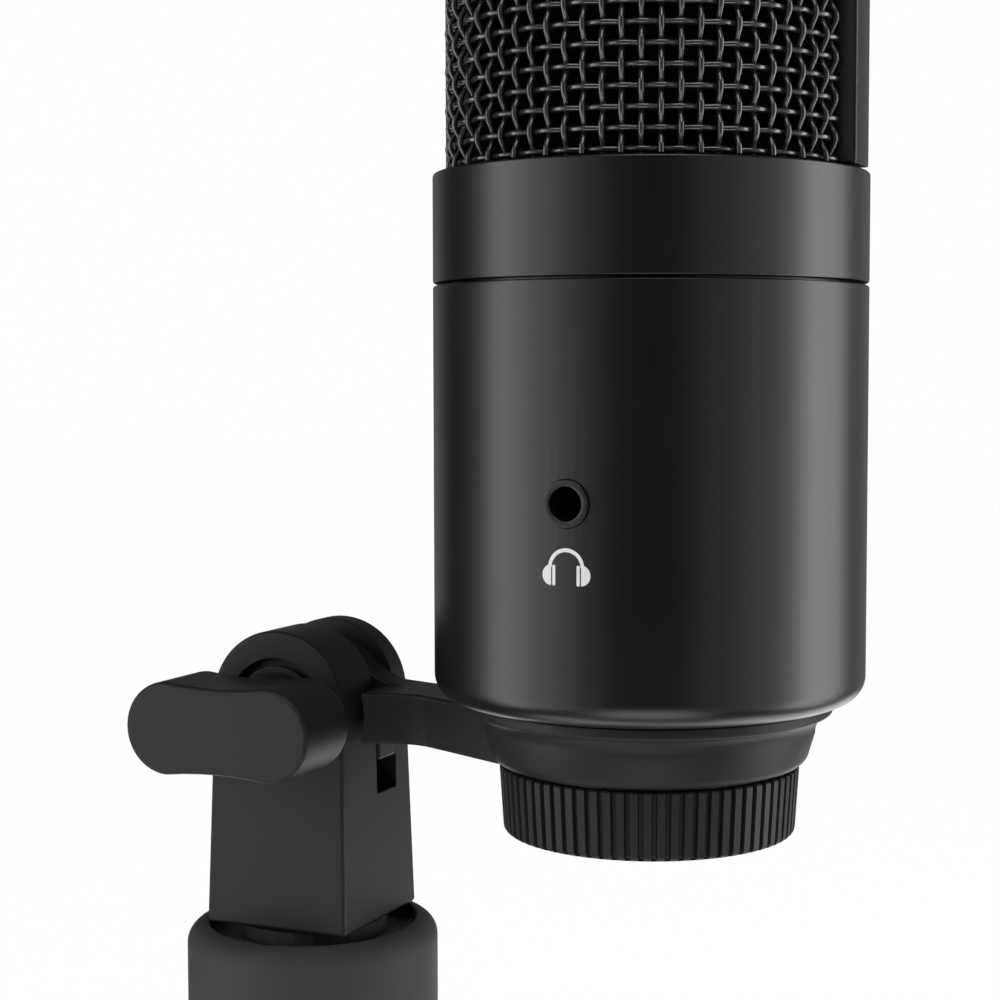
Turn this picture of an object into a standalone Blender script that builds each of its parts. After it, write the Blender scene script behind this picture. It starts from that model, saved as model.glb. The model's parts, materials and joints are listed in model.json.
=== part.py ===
"""Desktop microphone held by a pivot arm on a folding tripod.

Sizes are in metres and +Z is up. The floor is z = 0 and the origin is the centre of the footprint.
The microphone's headphone jack faces -Y, its gain knob faces +Y and the stand is on its -X side.
"""
import bmesh
import bpy
from math import asin, atan2, cos, hypot, pi, radians, sin, sqrt
from mathutils import Matrix, Vector

# Clearances and facets
SEAT_GAP = 0.0003
MERGE_DISTANCE = 0.000001
CUT_MARGIN = 0.002
BODY_STEPS = 32
HUB_STEPS = 24
SMALL_STEPS = 8
ARC_STEPS = 4

# Tripod legs and feet
LEG_COUNT = 3
FOOT_RADIUS = 0.0055
FOOT_HEIGHT = 0.005
FOOT_EDGE = 0.0008
FOOT_REACH = 0.083
STEM_RADIUS = 0.002
STEM_HEIGHT = 0.004
LEG_DEPTH = 0.0105
LEG_THICKNESS = 0.007
LEG_EDGE = 0.0008
PIN_RADIUS = 0.0016
PIN_CIRCLE = 0.0105
PIN_HEIGHT = 0.042
PIN_INSET = 0.0006

# Stand hub, stud and swivel washer
HUB_RADIUS = 0.0157
HUB_FLOOR = 0.033
HUB_HEIGHT = 0.0414
HUB_ROUND = 0.0025
HUB_CHAMFER = 0.0008
RECESS_RADIUS = 0.013
RECESS_DEPTH = 0.0016
STUD_RADIUS = 0.00476
STUD_IN_HUB = 0.0183
STUD_IN_BLOCK = 0.0115
SWIVEL_WASHER_RADIUS = 0.0092
SWIVEL_WASHER_THICKNESS = 0.0017
WASHER_THICKNESS = 0.0007

# Clevis block
BLOCK_FOOT_WIDTH = 0.0195
EAR_RADIUS = 0.0091
EAR_RISE = 0.00105
EAR_DEPTH = 0.0172
BLOCK_FOOT_DEPTH = 0.0187
DRAFT_BELOW_PIVOT = 0.0055
BLOCK_EDGE = 0.0005
PIVOT_RISE = 0.02655
SLOT_OFFSET = 0.0025
SLOT_BELOW_PIVOT = 0.0107
STEM_WELL_RADIUS = 0.0068
STEM_WELL_DEPTH = 0.0012

# Clamp screw, its nut and the T-handle
SCREW_RADIUS = 0.0025
NUT_ACROSS_FLATS = 0.008
CAPTIVE_NUT_THICKNESS = 0.0027
NUT_POCKET_DEPTH = 0.0024
CLAMP_WASHER_RADIUS = 0.0058
STEM_OF_HANDLE_RADIUS = 0.0052
STEM_OF_HANDLE_LENGTH = 0.0037
STEM_ROOT = 0.0006
BAR_LENGTH = 0.0245
BAR_END_RADIUS = 0.0055
BAR_WAIST = 0.0101
BAR_DEPTH = 0.0098
BAR_EDGE = 0.0004
SCREW_IN_HANDLE = 0.007

# Pivot arm
ARM_REACH = 0.0453
TONGUE_THICKNESS = 0.0044
EYE_RADIUS = 0.0086
HEEL_REACH = 0.0095
HEEL_DROP = 0.0066
ARM_DROP = 0.00355
ARM_TOP_RISE = 0.00285
ARM_FILLET = 0.01
SHOULDER_RADIUS = 0.0108
SHOULDER_HALF_WIDTH = 0.0066
NECK_REACH = 0.016
NECK_HALF_WIDTH = 0.0047
ROOT_HALF_WIDTH = 0.0112
ARM_EDGE = 0.0004
ARM_STEP = 0.0002
COLLAR_HEIGHT = 0.0073
COLLAR_REACH = 0.0103
COLLAR_FLARE = 0.002
COLLAR_WAIST_RISE = 0.0028
COLLAR_TAPER = 0.0011
COLLAR_ROUND = 0.0012

# Knurled clamp nut
NUT_HEIGHT = 0.0078
NUT_INSET = 0.0007
NUT_TAPER = 0.0005
NUT_RIBS = 72
RIB_HEIGHT = 0.0005
RIB_SHARE = 0.62
NUT_WASHER_INSET = 0.0015

# Base plug and USB socket
STUB_RADIUS = 0.011
STUB_WALL = 0.0024
STUB_SHY = 0.0009
THREAD_GAP = 0.0006
FLANGE_THICKNESS = 0.0025
USB_WIDTH = 0.012
USB_DEPTH = 0.0109
USB_LENGTH = 0.016
USB_MOUTH_WIDTH = 0.00845
USB_MOUTH_DEPTH = 0.00778
USB_MOUTH_LENGTH = 0.009
USB_TONGUE_WIDTH = 0.0056
USB_TONGUE_DEPTH = 0.0032
USB_TONGUE_SHY = 0.001

# Microphone body
BODY_RADIUS = 0.025
BODY_HEIGHT = 0.04735
BODY_WALL = 0.0015
BODY_FLOOR = 0.002
BODY_ROUND = 0.0029
GROOVE_CHAMFER = 0.00025

# Chassis rails and boards
RAIL_INSET = 0.0065
RAIL_WIDTH = 0.003
RAIL_DEPTH = 0.018
RAIL_SHY = 0.00325
BOARD_THICKNESS = 0.0016
BOARD_OVERHANG = 0.0011
BOARD_SHY_BELOW = 0.0008
BOARD_SHY_ABOVE = 0.0022
GAIN_BOARD_HEIGHT = 0.022
SMALL_SCREW_RADIUS = 0.0009
SMALL_HEAD_RADIUS = 0.0016
SMALL_HEAD_HEIGHT = 0.001
BOARD_SCREW_GRIP = 0.005
BOARD_SCREW_SPREAD = 0.008
LONG_SCREW_GRIP = 0.009

# Headphone jack, gain control
JACK_RISE = 0.0239
JACK_BARREL_RADIUS = 0.0025
JACK_BORE_RADIUS = 0.0018
JACK_BORE_DEPTH = 0.012
JACK_PROUD = 0.0003
JACK_CASE_WIDTH = 0.009
POT_WIDTH = 0.011
POT_DEPTH = 0.0065
BUSHING_RADIUS = 0.004
SHAFT_RADIUS = 0.003
SHAFT_IN_BUSHING = 0.005
KNOB_RADIUS = 0.008
KNOB_DEPTH = 0.0095
KNOB_ROUND = 0.0012
KNOB_FACE = 0.003

# Head: ring, frame, grilles and cap
RING_HEIGHT = 0.01235
RING_WALL = 0.0033
RING_CHAMFER_WIDTH = 0.0004
RING_CHAMFER_HEIGHT = 0.0008
SPIGOT_DEPTH = 0.003
LIP_WIDTH = 0.0052
LIP_THICKNESS = 0.002
DECK_THICKNESS = 0.002
GRILLE_INSET = 0.0014
GRILLE_WALL = 0.0007
GRILLE_HEIGHT = 0.0615
BAND_WIDTH = 0.0057
BAND_EDGE = 0.00025
HOOP_WALL = 0.0014
HOOP_HEIGHT = 0.003
LINER_WALL = 0.0012
CAP_HEIGHT = 0.0125
CAP_ROUND = 0.006
CAP_WALL = 0.003

# Capsule
CAPSULE_RADIUS = 0.013
CAPSULE_DEPTH = 0.009
CAPSULE_RISE = 0.043
DIAPHRAGM_RADIUS = 0.011
DIAPHRAGM_THICKNESS = 0.0006
DIAPHRAGM_RECESS = 0.0012
HOLDER_FOOT_RADIUS = 0.009
HOLDER_FOOT_HEIGHT = 0.002
HOLDER_POST_RADIUS = 0.003

# Levels of the stand, worked up from the floor
HUB_TOP = HUB_FLOOR + HUB_HEIGHT
RECESS_LEVEL = HUB_TOP - RECESS_DEPTH
BLOCK_BOTTOM = RECESS_LEVEL + SWIVEL_WASHER_THICKNESS + 2 * SEAT_GAP
PIVOT_LEVEL = BLOCK_BOTTOM + PIVOT_RISE
BLOCK_TOP = PIVOT_LEVEL + EAR_RISE + EAR_RADIUS
COLLAR_BOTTOM = PIVOT_LEVEL - ARM_DROP
BODY_BOTTOM = COLLAR_BOTTOM + COLLAR_HEIGHT + SEAT_GAP

# Levels of the microphone, worked up from the bottom of its body
FLANGE_BOTTOM = BODY_FLOOR + SEAT_GAP
RAIL_BOTTOM = FLANGE_BOTTOM + FLANGE_THICKNESS + SEAT_GAP
RAIL_TOP = BODY_HEIGHT - RAIL_SHY
DECK_BOTTOM = RAIL_TOP + SEAT_GAP
DECK_TOP = DECK_BOTTOM + DECK_THICKNESS
LIP_BOTTOM = DECK_TOP + SEAT_GAP
LIP_TOP = LIP_BOTTOM + LIP_THICKNESS
RING_BOTTOM = BODY_HEIGHT + SEAT_GAP
RING_TOP = RING_BOTTOM + RING_HEIGHT
GRILLE_BOTTOM = RING_TOP + SEAT_GAP
GRILLE_TOP = GRILLE_BOTTOM + GRILLE_HEIGHT
CAP_BOTTOM = GRILLE_TOP + SEAT_GAP
CAPSULE_LEVEL = DECK_TOP + CAPSULE_RISE
NUT_TOP = -(COLLAR_HEIGHT + 2 * SEAT_GAP)
NUT_BOTTOM = NUT_TOP - NUT_HEIGHT

# Sizes that follow the body's radius, so that what is in it and round it stays together
BODY_INNER = BODY_RADIUS - BODY_WALL
PLUG_RADIUS = BODY_INNER - SEAT_GAP
FLANGE_RADIUS = BODY_RADIUS - BODY_ROUND - SEAT_GAP
RING_INNER = BODY_RADIUS - RING_WALL
RAIL_OFFSET = BODY_RADIUS - RAIL_INSET
BOARD_WIDTH = 2 * (RAIL_OFFSET + BOARD_OVERHANG)
GRILLE_RADIUS = BODY_RADIUS - GRILLE_INSET
HOOP_OUTER = GRILLE_RADIUS - GRILLE_WALL - SEAT_GAP
HOOP_INNER = HOOP_OUTER - HOOP_WALL
LINER_OUTER = HOOP_INNER - SEAT_GAP

# Sizes that follow the stub, which carries the arm's collar and the clamp nut
STUB_HOLE = STUB_RADIUS + SEAT_GAP
COLLAR_TOP_RADIUS = STUB_RADIUS + COLLAR_REACH
COLLAR_WAIST_RADIUS = COLLAR_TOP_RADIUS - COLLAR_FLARE
COLLAR_BOTTOM_RADIUS = COLLAR_WAIST_RADIUS - COLLAR_TAPER
NUT_TOP_RADIUS = COLLAR_BOTTOM_RADIUS - NUT_INSET
NUT_BOTTOM_RADIUS = NUT_TOP_RADIUS - NUT_TAPER
NUT_WASHER_RADIUS = NUT_TOP_RADIUS - NUT_WASHER_INSET
EYE_SLOT = TONGUE_THICKNESS + 2 * SEAT_GAP

# The footprint runs from the two rear feet to the front one, and its centre is the origin
LEG_ANGLE = 2 * pi / LEG_COUNT
STAND_X = -FOOT_REACH * (1 + cos(LEG_ANGLE)) / 2
MIC_X = STAND_X + ARM_REACH


def clear_scene():
    for thing in list(bpy.data.objects):
        bpy.data.objects.remove(thing)


def make_material(name, color, roughness, metallic):
    made = bpy.data.materials.new(name)
    made.use_nodes = True
    shader = made.node_tree.nodes["Principled BSDF"]
    shader.inputs["Base Color"].default_value = (*color, 1)
    shader.inputs["Roughness"].default_value = roughness
    shader.inputs["Metallic"].default_value = metallic
    return made


def make_axis(name, location, parent=None, turn=0.0):
    """An empty on a joint's axis, that the pieces which move about it hang from."""
    empty = bpy.data.objects.new(name, None)
    bpy.context.collection.objects.link(empty)
    empty.parent = parent
    empty.location = location
    empty.rotation_euler = (0, 0, turn)
    return empty


def arc(center, radius, start, end, steps=ARC_STEPS):
    """Points along an arc, with both ends."""
    angles = [start + (end - start) * i / steps for i in range(steps + 1)]
    return [(center[0] + radius * cos(a), center[1] + radius * sin(a)) for a in angles]


def add_piece(name, bm, finish, parent):
    """Closes a bmesh into a named object under its parent axis."""
    bmesh.ops.remove_doubles(bm, verts=bm.verts, dist=MERGE_DISTANCE)
    bmesh.ops.recalc_face_normals(bm, faces=bm.faces)
    mesh = bpy.data.meshes.new(name)
    bm.to_mesh(mesh)
    bm.free()
    mesh.shade_smooth()
    mesh.set_sharp_from_angle(angle=radians(35))
    piece = bpy.data.objects.new(name, mesh)
    bpy.context.collection.objects.link(piece)
    piece.parent = parent
    if finish:
        piece.data.materials.append(finish)
    return piece


# Turned shapes are spun about Z and then laid along the axis that they are named for
ALONG = {
    "Z": Matrix.Identity(4),
    "+Y": Matrix.Rotation(-pi / 2, 4, "X"),
    "-Y": Matrix.Rotation(pi / 2, 4, "X"),
}


def turned(name, outline, finish, parent, steps=BODY_STEPS, along="Z", at=(0, 0, 0)):
    """Spins an outline of (radius, height) points; one that leaves the axis is a closed ring."""
    bm = bmesh.new()
    verts = [bm.verts.new((radius, 0, height)) for radius, height in outline]
    edges = [bm.edges.new(pair) for pair in zip(verts, verts[1:])]
    if outline[0][0] > 0 or outline[-1][0] > 0:
        edges.append(bm.edges.new((verts[-1], verts[0])))
    bmesh.ops.spin(bm, geom=verts + edges, cent=(0, 0, 0), axis=(0, 0, 1), angle=2 * pi,
                   steps=steps, use_merge=True)
    bmesh.ops.transform(bm, matrix=Matrix.Translation(at) @ ALONG[along], verts=bm.verts)
    return add_piece(name, bm, finish, parent)


def cylinder(name, radius, low, high, finish, parent, steps=SMALL_STEPS, along="Z", at=(0, 0, 0)):
    outline = [(0, low), (radius, low), (radius, high), (0, high)]
    return turned(name, outline, finish, parent, steps, along, at)


def tube(name, inner, outer, low, high, finish, parent, steps=BODY_STEPS, along="Z", at=(0, 0, 0)):
    outline = [(inner, low), (outer, low), (outer, high), (inner, high)]
    return turned(name, outline, finish, parent, steps, along, at)


def prism(name, outline, low, high, finish, parent, along="Z", at=(0, 0, 0)):
    """Extrudes an outline: of (x, y) points along Z, of (x, z) along Y, or of (y, z) along X."""
    bm = bmesh.new()
    if along == "Z":
        verts = [bm.verts.new((x, y, low)) for x, y in outline]
        way = Vector((0, 0, high - low))
    elif along == "X":
        verts = [bm.verts.new((low, y, z)) for y, z in outline]
        way = Vector((high - low, 0, 0))
    else:
        verts = [bm.verts.new((x, low, z)) for x, z in outline]
        way = Vector((0, high - low, 0))
    face = bm.faces.new(verts)
    grown = bmesh.ops.extrude_face_region(bm, geom=[face], use_keep_orig=True)["geom"]
    moved = [item for item in grown if isinstance(item, bmesh.types.BMVert)]
    bmesh.ops.translate(bm, vec=way, verts=moved)
    bmesh.ops.translate(bm, vec=at, verts=bm.verts)
    return add_piece(name, bm, finish, parent)


def box(name, low, high, finish, parent):
    outline = [(low[0], low[1]), (high[0], low[1]), (high[0], high[1]), (low[0], high[1])]
    return prism(name, outline, low[2], high[2], finish, parent)


def bevel(piece, width, segments=1):
    rounding = piece.modifiers.new("edge", "BEVEL")
    rounding.width = width
    rounding.segments = segments
    rounding.limit_method = "ANGLE"
    rounding.angle_limit = radians(40)


def combine(piece, tool, operation="DIFFERENCE"):
    """Cuts a tool shape out of a piece, or joins it to the piece."""
    tool.hide_render = True
    tool.display_type = "WIRE"
    boolean = piece.modifiers.new(tool.name, "BOOLEAN")
    boolean.object = tool
    boolean.operation = operation
    boolean.solver = "EXACT"


def leg_slope():
    """How far a spread leg's line drops: its lower edge meets the inner rim of its foot."""
    run = FOOT_REACH - PIN_CIRCLE - FOOT_RADIUS
    fall = PIN_HEIGHT - FOOT_HEIGHT - SEAT_GAP
    return atan2(fall, run) - asin(LEG_DEPTH / 2 / hypot(run, fall))


def make_hub(finishes, stand):
    bore = STUD_RADIUS + SEAT_GAP
    bore_floor = RECESS_LEVEL - STUD_IN_HUB - SEAT_GAP
    top_round = arc((HUB_RADIUS - HUB_ROUND, HUB_TOP - HUB_ROUND), HUB_ROUND, 0, pi / 2)
    outline = [(0, HUB_FLOOR), (HUB_RADIUS - HUB_CHAMFER, HUB_FLOOR)]
    outline += [(HUB_RADIUS, HUB_FLOOR + HUB_CHAMFER)]
    outline += top_round
    outline += [(RECESS_RADIUS, HUB_TOP), (RECESS_RADIUS, RECESS_LEVEL), (bore, RECESS_LEVEL)]
    outline += [(bore, bore_floor), (0, bore_floor)]
    hub = turned("stand_hub", outline, finishes["metal"], stand, HUB_STEPS)
    stud_top = BLOCK_BOTTOM + STUD_IN_BLOCK
    cylinder("hub_stud", STUD_RADIUS, bore_floor + SEAT_GAP, stud_top, finishes["steel"], stand,
             HUB_STEPS // 2)
    tube("swivel_washer", bore, SWIVEL_WASHER_RADIUS, RECESS_LEVEL + SEAT_GAP,
         RECESS_LEVEL + SEAT_GAP + SWIVEL_WASHER_THICKNESS, finishes["rubber"], stand, HUB_STEPS)
    return hub


def leg_outline(half_depth, slope):
    """A leg from the eye round its pin to the flat pad over its foot, seen square to the hinge."""
    reach = FOOT_REACH - PIN_CIRCLE
    pad = FOOT_HEIGHT + SEAT_GAP - PIN_HEIGHT
    tip = reach + FOOT_RADIUS
    top_start = (half_depth * sin(slope), half_depth * cos(slope))
    tip_top = top_start[1] - (tip - top_start[0]) * sin(slope) / cos(slope)
    eye = arc((0, 0), half_depth, pi / 2 - slope, 3 * pi / 2 - slope, 3 * ARC_STEPS)
    return eye + [(reach - FOOT_RADIUS, pad), (tip, pad), (tip, tip_top)]


def slot_outline(half_depth, slope):
    """The room that a leg folds in: its roof is the stop that the spread leg lies against."""
    outside = HUB_RADIUS - PIN_CIRCLE + CUT_MARGIN
    below = HUB_FLOOR - PIN_HEIGHT - CUT_MARGIN
    roof_start = (half_depth * sin(slope), half_depth * cos(slope))
    roof_end = roof_start[1] - (outside - roof_start[0]) * sin(slope) / cos(slope)
    over_eye = arc((0, 0), half_depth, pi / 2 - slope, pi, 2 * ARC_STEPS)
    return over_eye + [(-half_depth, below), (outside, below), (outside, roof_end)]


def make_legs(finishes, stand, hub):
    slope = leg_slope()
    half_depth = LEG_DEPTH / 2
    half_thickness = LEG_THICKNESS / 2
    pin_half = sqrt(HUB_RADIUS ** 2 - PIN_CIRCLE ** 2) - PIN_INSET
    reach = FOOT_REACH - PIN_CIRCLE
    pad = FOOT_HEIGHT + SEAT_GAP - PIN_HEIGHT
    for number in range(1, LEG_COUNT + 1):
        turn = (number - 1) * LEG_ANGLE
        place = (PIN_CIRCLE * cos(turn), PIN_CIRCLE * sin(turn), PIN_HEIGHT)
        hinge = make_axis(f"leg_hinge_{number}", place, stand, turn)
        leg = prism(f"leg_{number}", leg_outline(half_depth, slope), -half_thickness, half_thickness,
                    finishes["metal"], hinge, "Y")
        bevel(leg, LEG_EDGE)
        pin_hole = cylinder(f"leg_{number}_pin_hole", PIN_RADIUS + SEAT_GAP, -HUB_RADIUS, HUB_RADIUS,
                            None, hinge, along="+Y")
        combine(leg, pin_hole)
        stem_hole = cylinder(f"leg_{number}_stem_hole", STEM_RADIUS + SEAT_GAP, pad - CUT_MARGIN,
                             pad + STEM_HEIGHT, None, hinge, at=(reach, 0, 0))
        combine(leg, stem_hole)
        slot = prism(f"hub_slot_{number}", slot_outline(half_depth + SEAT_GAP, slope),
                     -half_thickness - SEAT_GAP, half_thickness + SEAT_GAP, None, hinge, "Y")
        combine(hub, slot)
        combine(hub, pin_hole)
        cylinder(f"leg_pin_{number}", PIN_RADIUS, -pin_half, pin_half, finishes["steel"], hinge, along="+Y")
        make_foot(number, finishes, hinge, reach)


def make_foot(number, finishes, hinge, reach):
    top = FOOT_HEIGHT - PIN_HEIGHT
    stem_top = top + STEM_HEIGHT
    outline = [(0, -PIN_HEIGHT), (FOOT_RADIUS - FOOT_EDGE, -PIN_HEIGHT)]
    outline += [(FOOT_RADIUS, FOOT_EDGE - PIN_HEIGHT), (FOOT_RADIUS, top)]
    outline += [(STEM_RADIUS, top), (STEM_RADIUS, stem_top), (0, stem_top)]
    turned(f"foot_{number}", outline, finishes["rubber"], hinge, 2 * SMALL_STEPS, at=(reach, 0, 0))


def draft_outline():
    """The block seen from the side: straight ears, and a foot that widens down to its bottom."""
    half_ears = EAR_DEPTH / 2
    slope = (BLOCK_FOOT_DEPTH / 2 - half_ears) / (PIVOT_RISE - DRAFT_BELOW_PIVOT)
    below = PIVOT_RISE + CUT_MARGIN
    half_below = half_ears + slope * (below - DRAFT_BELOW_PIVOT)
    above = EAR_RISE + EAR_RADIUS + CUT_MARGIN
    right_side = [(half_below, -below), (half_ears, -DRAFT_BELOW_PIVOT), (half_ears, above)]
    return right_side + [(-y, z) for y, z in reversed(right_side)]


def make_block(finishes, swivel, tilt):
    """The clevis: two ears round the arm's tongue, on a tapered foot that turns on the stud."""
    half_foot = BLOCK_FOOT_WIDTH / 2
    half_depth = EAR_DEPTH / 2
    arch = arc((0, EAR_RISE), EAR_RADIUS, 0, pi, 4 * ARC_STEPS)
    outline = arch + [(-half_foot, -PIVOT_RISE), (half_foot, -PIVOT_RISE)]
    block = prism("swivel_block", outline, -BLOCK_FOOT_DEPTH, BLOCK_FOOT_DEPTH, finishes["plastic"], swivel,
                  "Y", at=(0, 0, PIVOT_LEVEL))
    draft = prism("block_draft", draft_outline(), -BLOCK_FOOT_WIDTH, BLOCK_FOOT_WIDTH, None, tilt, "X")
    combine(block, draft, "INTERSECT")
    bevel(block, BLOCK_EDGE, 2)
    slot = box("eye_slot", (-BLOCK_FOOT_WIDTH, SLOT_OFFSET - EYE_SLOT / 2, PIVOT_LEVEL - SLOT_BELOW_PIVOT),
               (BLOCK_FOOT_WIDTH, SLOT_OFFSET + EYE_SLOT / 2, BLOCK_TOP + CUT_MARGIN), None, swivel)
    combine(block, slot)
    stem_well = cylinder("stem_well", STEM_WELL_RADIUS, half_depth - STEM_WELL_DEPTH, half_depth + CUT_MARGIN,
                         None, tilt, 2 * SMALL_STEPS, "-Y")
    combine(block, stem_well)
    screw_hole = cylinder("screw_hole", SCREW_RADIUS + SEAT_GAP, -EAR_DEPTH, EAR_DEPTH, None, tilt,
                          2 * SMALL_STEPS, "+Y")
    combine(block, screw_hole)
    stud_hole = cylinder("stud_hole", STUD_RADIUS + SEAT_GAP, BLOCK_BOTTOM - CUT_MARGIN,
                         BLOCK_BOTTOM + STUD_IN_BLOCK + SEAT_GAP, None, swivel, HUB_STEPS // 2)
    combine(block, stud_hole)
    pocket_floor = half_depth - NUT_POCKET_DEPTH
    corner = NUT_ACROSS_FLATS / 2 / cos(pi / 6)
    pocket = cylinder("nut_pocket", corner + SEAT_GAP, pocket_floor, half_depth + CUT_MARGIN, None, tilt,
                      6, "+Y")
    combine(block, pocket)
    nut_low = pocket_floor + SEAT_GAP
    captive = cylinder("captive_nut", corner, nut_low, nut_low + CAPTIVE_NUT_THICKNESS, finishes["steel"],
                       tilt, 6, "+Y")
    combine(captive, screw_hole)
    return screw_hole


def bar_outline():
    """A bar with round ends, drawn in to a waist by two shallow arcs."""
    half_run = BAR_LENGTH / 2 - BAR_END_RADIUS
    waist = BAR_WAIST / 2
    end = arc((half_run, 0), BAR_END_RADIUS, -pi / 2, pi / 2, 3 * ARC_STEPS)
    across = [half_run * (1 - 2 * i / (2 * ARC_STEPS)) for i in range(1, 2 * ARC_STEPS)]
    top = [(x, waist + (BAR_END_RADIUS - waist) * (x / half_run) ** 2) for x in across]
    right_half = end + top
    return right_half + [(-x, -z) for x, z in right_half]


def make_handle(finishes, handle_axis, screw_hole):
    """The T-handle: a bar on a round stem in the ear's well, with the clamp screw let into it."""
    well_floor = STEM_WELL_DEPTH - EAR_DEPTH / 2
    washer_front = well_floor - SEAT_GAP - WASHER_THICKNESS
    stem_end = washer_front - SEAT_GAP
    bar_back = stem_end - STEM_OF_HANDLE_LENGTH
    tube("clamp_washer", SCREW_RADIUS + SEAT_GAP, CLAMP_WASHER_RADIUS, -well_floor + SEAT_GAP,
         -washer_front, finishes["steel"], handle_axis, 2 * SMALL_STEPS, "-Y")
    handle = prism("clamp_handle", bar_outline(), bar_back - BAR_DEPTH, bar_back, finishes["plastic"],
                   handle_axis, "Y")
    bevel(handle, BAR_EDGE)
    stem = cylinder("handle_stem", STEM_OF_HANDLE_RADIUS, -stem_end, -bar_back + STEM_ROOT, None,
                    handle_axis, 2 * SMALL_STEPS, "-Y")
    combine(handle, stem, "UNION")
    screw_front = bar_back - SCREW_IN_HANDLE + STEM_OF_HANDLE_LENGTH
    bore = cylinder("handle_bore", SCREW_RADIUS + SEAT_GAP, -stem_end - CUT_MARGIN, -screw_front + SEAT_GAP,
                    None, handle_axis, 2 * SMALL_STEPS, "-Y")
    combine(handle, bore)
    screw_back = EAR_DEPTH / 2 + SEAT_GAP
    cylinder("clamp_screw", SCREW_RADIUS, -screw_back, -screw_front, finishes["steel"], handle_axis,
             2 * SMALL_STEPS, "-Y")


def tongue_outline():
    """The tongue seen from the front: a round eye, a heel below it and a fillet down to the arm's top."""
    center_rise = ARM_TOP_RISE + ARM_FILLET
    center_run = sqrt((EYE_RADIUS + ARM_FILLET) ** 2 - center_rise ** 2)
    touch = atan2(center_rise, center_run)
    under = asin(-HEEL_DROP / EYE_RADIUS)
    low = 2 * ARM_STEP - ARM_DROP
    high = ARM_TOP_RISE - ARM_STEP
    eye = arc((0, 0), EYE_RADIUS, touch, 2 * pi + under, 6 * ARC_STEPS)
    heel = [(HEEL_REACH, -HEEL_DROP), (HEEL_REACH, low)]
    fillet = arc((center_run, center_rise), ARM_FILLET, 3 * pi / 2, pi + touch, 2 * ARC_STEPS)
    return eye + heel + [(NECK_REACH, low), (NECK_REACH, high)] + fillet[1:-1]


def arm_outline():
    """The arm seen from above: a shoulder by the ears, a neck, and a flare out to the collar."""
    root_run = sqrt(COLLAR_BOTTOM_RADIUS ** 2 - ROOT_HALF_WIDTH ** 2)
    sunk = (STUB_HOLE + 2 * COLLAR_BOTTOM_RADIUS) / 3 / COLLAR_BOTTOM_RADIUS
    start = SHOULDER_RADIUS - CUT_MARGIN
    waist = (SHOULDER_HALF_WIDTH + 2 * NECK_HALF_WIDTH) / 3
    front = [(start, -SHOULDER_HALF_WIDTH), ((start + NECK_REACH) / 2, -waist)]
    front += [(NECK_REACH - ARM_EDGE, -NECK_HALF_WIDTH), (NECK_REACH + ARM_EDGE, -NECK_HALF_WIDTH)]
    front += [(ARM_REACH - root_run, -ROOT_HALF_WIDTH)]
    front += [(ARM_REACH - sunk * root_run, -sunk * ROOT_HALF_WIDTH)]
    return front + [(x, -y) for x, y in reversed(front)]


def make_arm(finishes, tilt, screw_hole):
    """A thick arm with a tongue between the ears at one end and a collar round the stub at the other."""
    arm = prism("pivot_arm", arm_outline(), ARM_STEP - ARM_DROP, ARM_TOP_RISE, finishes["plastic"], tilt)
    bevel(arm, ARM_EDGE)
    room = cylinder("ear_room", SHOULDER_RADIUS, -EAR_DEPTH, EAR_DEPTH, None, tilt, HUB_STEPS, "+Y")
    combine(arm, room)
    half = TONGUE_THICKNESS / 2
    tongue = prism("arm_tongue", tongue_outline(), -half, half, None, tilt, "Y", at=(0, SLOT_OFFSET, 0))
    bevel(tongue, ARM_EDGE)
    combine(arm, tongue, "UNION")
    bottom = -ARM_DROP
    waist = bottom + COLLAR_WAIST_RISE
    top = bottom + COLLAR_HEIGHT
    outline = [(STUB_HOLE, bottom)]
    outline += arc((COLLAR_BOTTOM_RADIUS - COLLAR_ROUND, bottom + COLLAR_ROUND), COLLAR_ROUND, -pi / 2, 0)
    outline += [(COLLAR_WAIST_RADIUS - SEAT_GAP, waist), (COLLAR_WAIST_RADIUS, waist)]
    outline += [((COLLAR_WAIST_RADIUS + COLLAR_TOP_RADIUS) / 2 - SEAT_GAP, (waist + top) / 2)]
    outline += [(COLLAR_TOP_RADIUS, top - SEAT_GAP), (COLLAR_TOP_RADIUS, top), (STUB_HOLE, top)]
    collar = turned("arm_collar", outline, None, tilt, at=(ARM_REACH, 0, 0))
    combine(arm, collar, "UNION")
    combine(arm, screw_hole)


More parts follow.
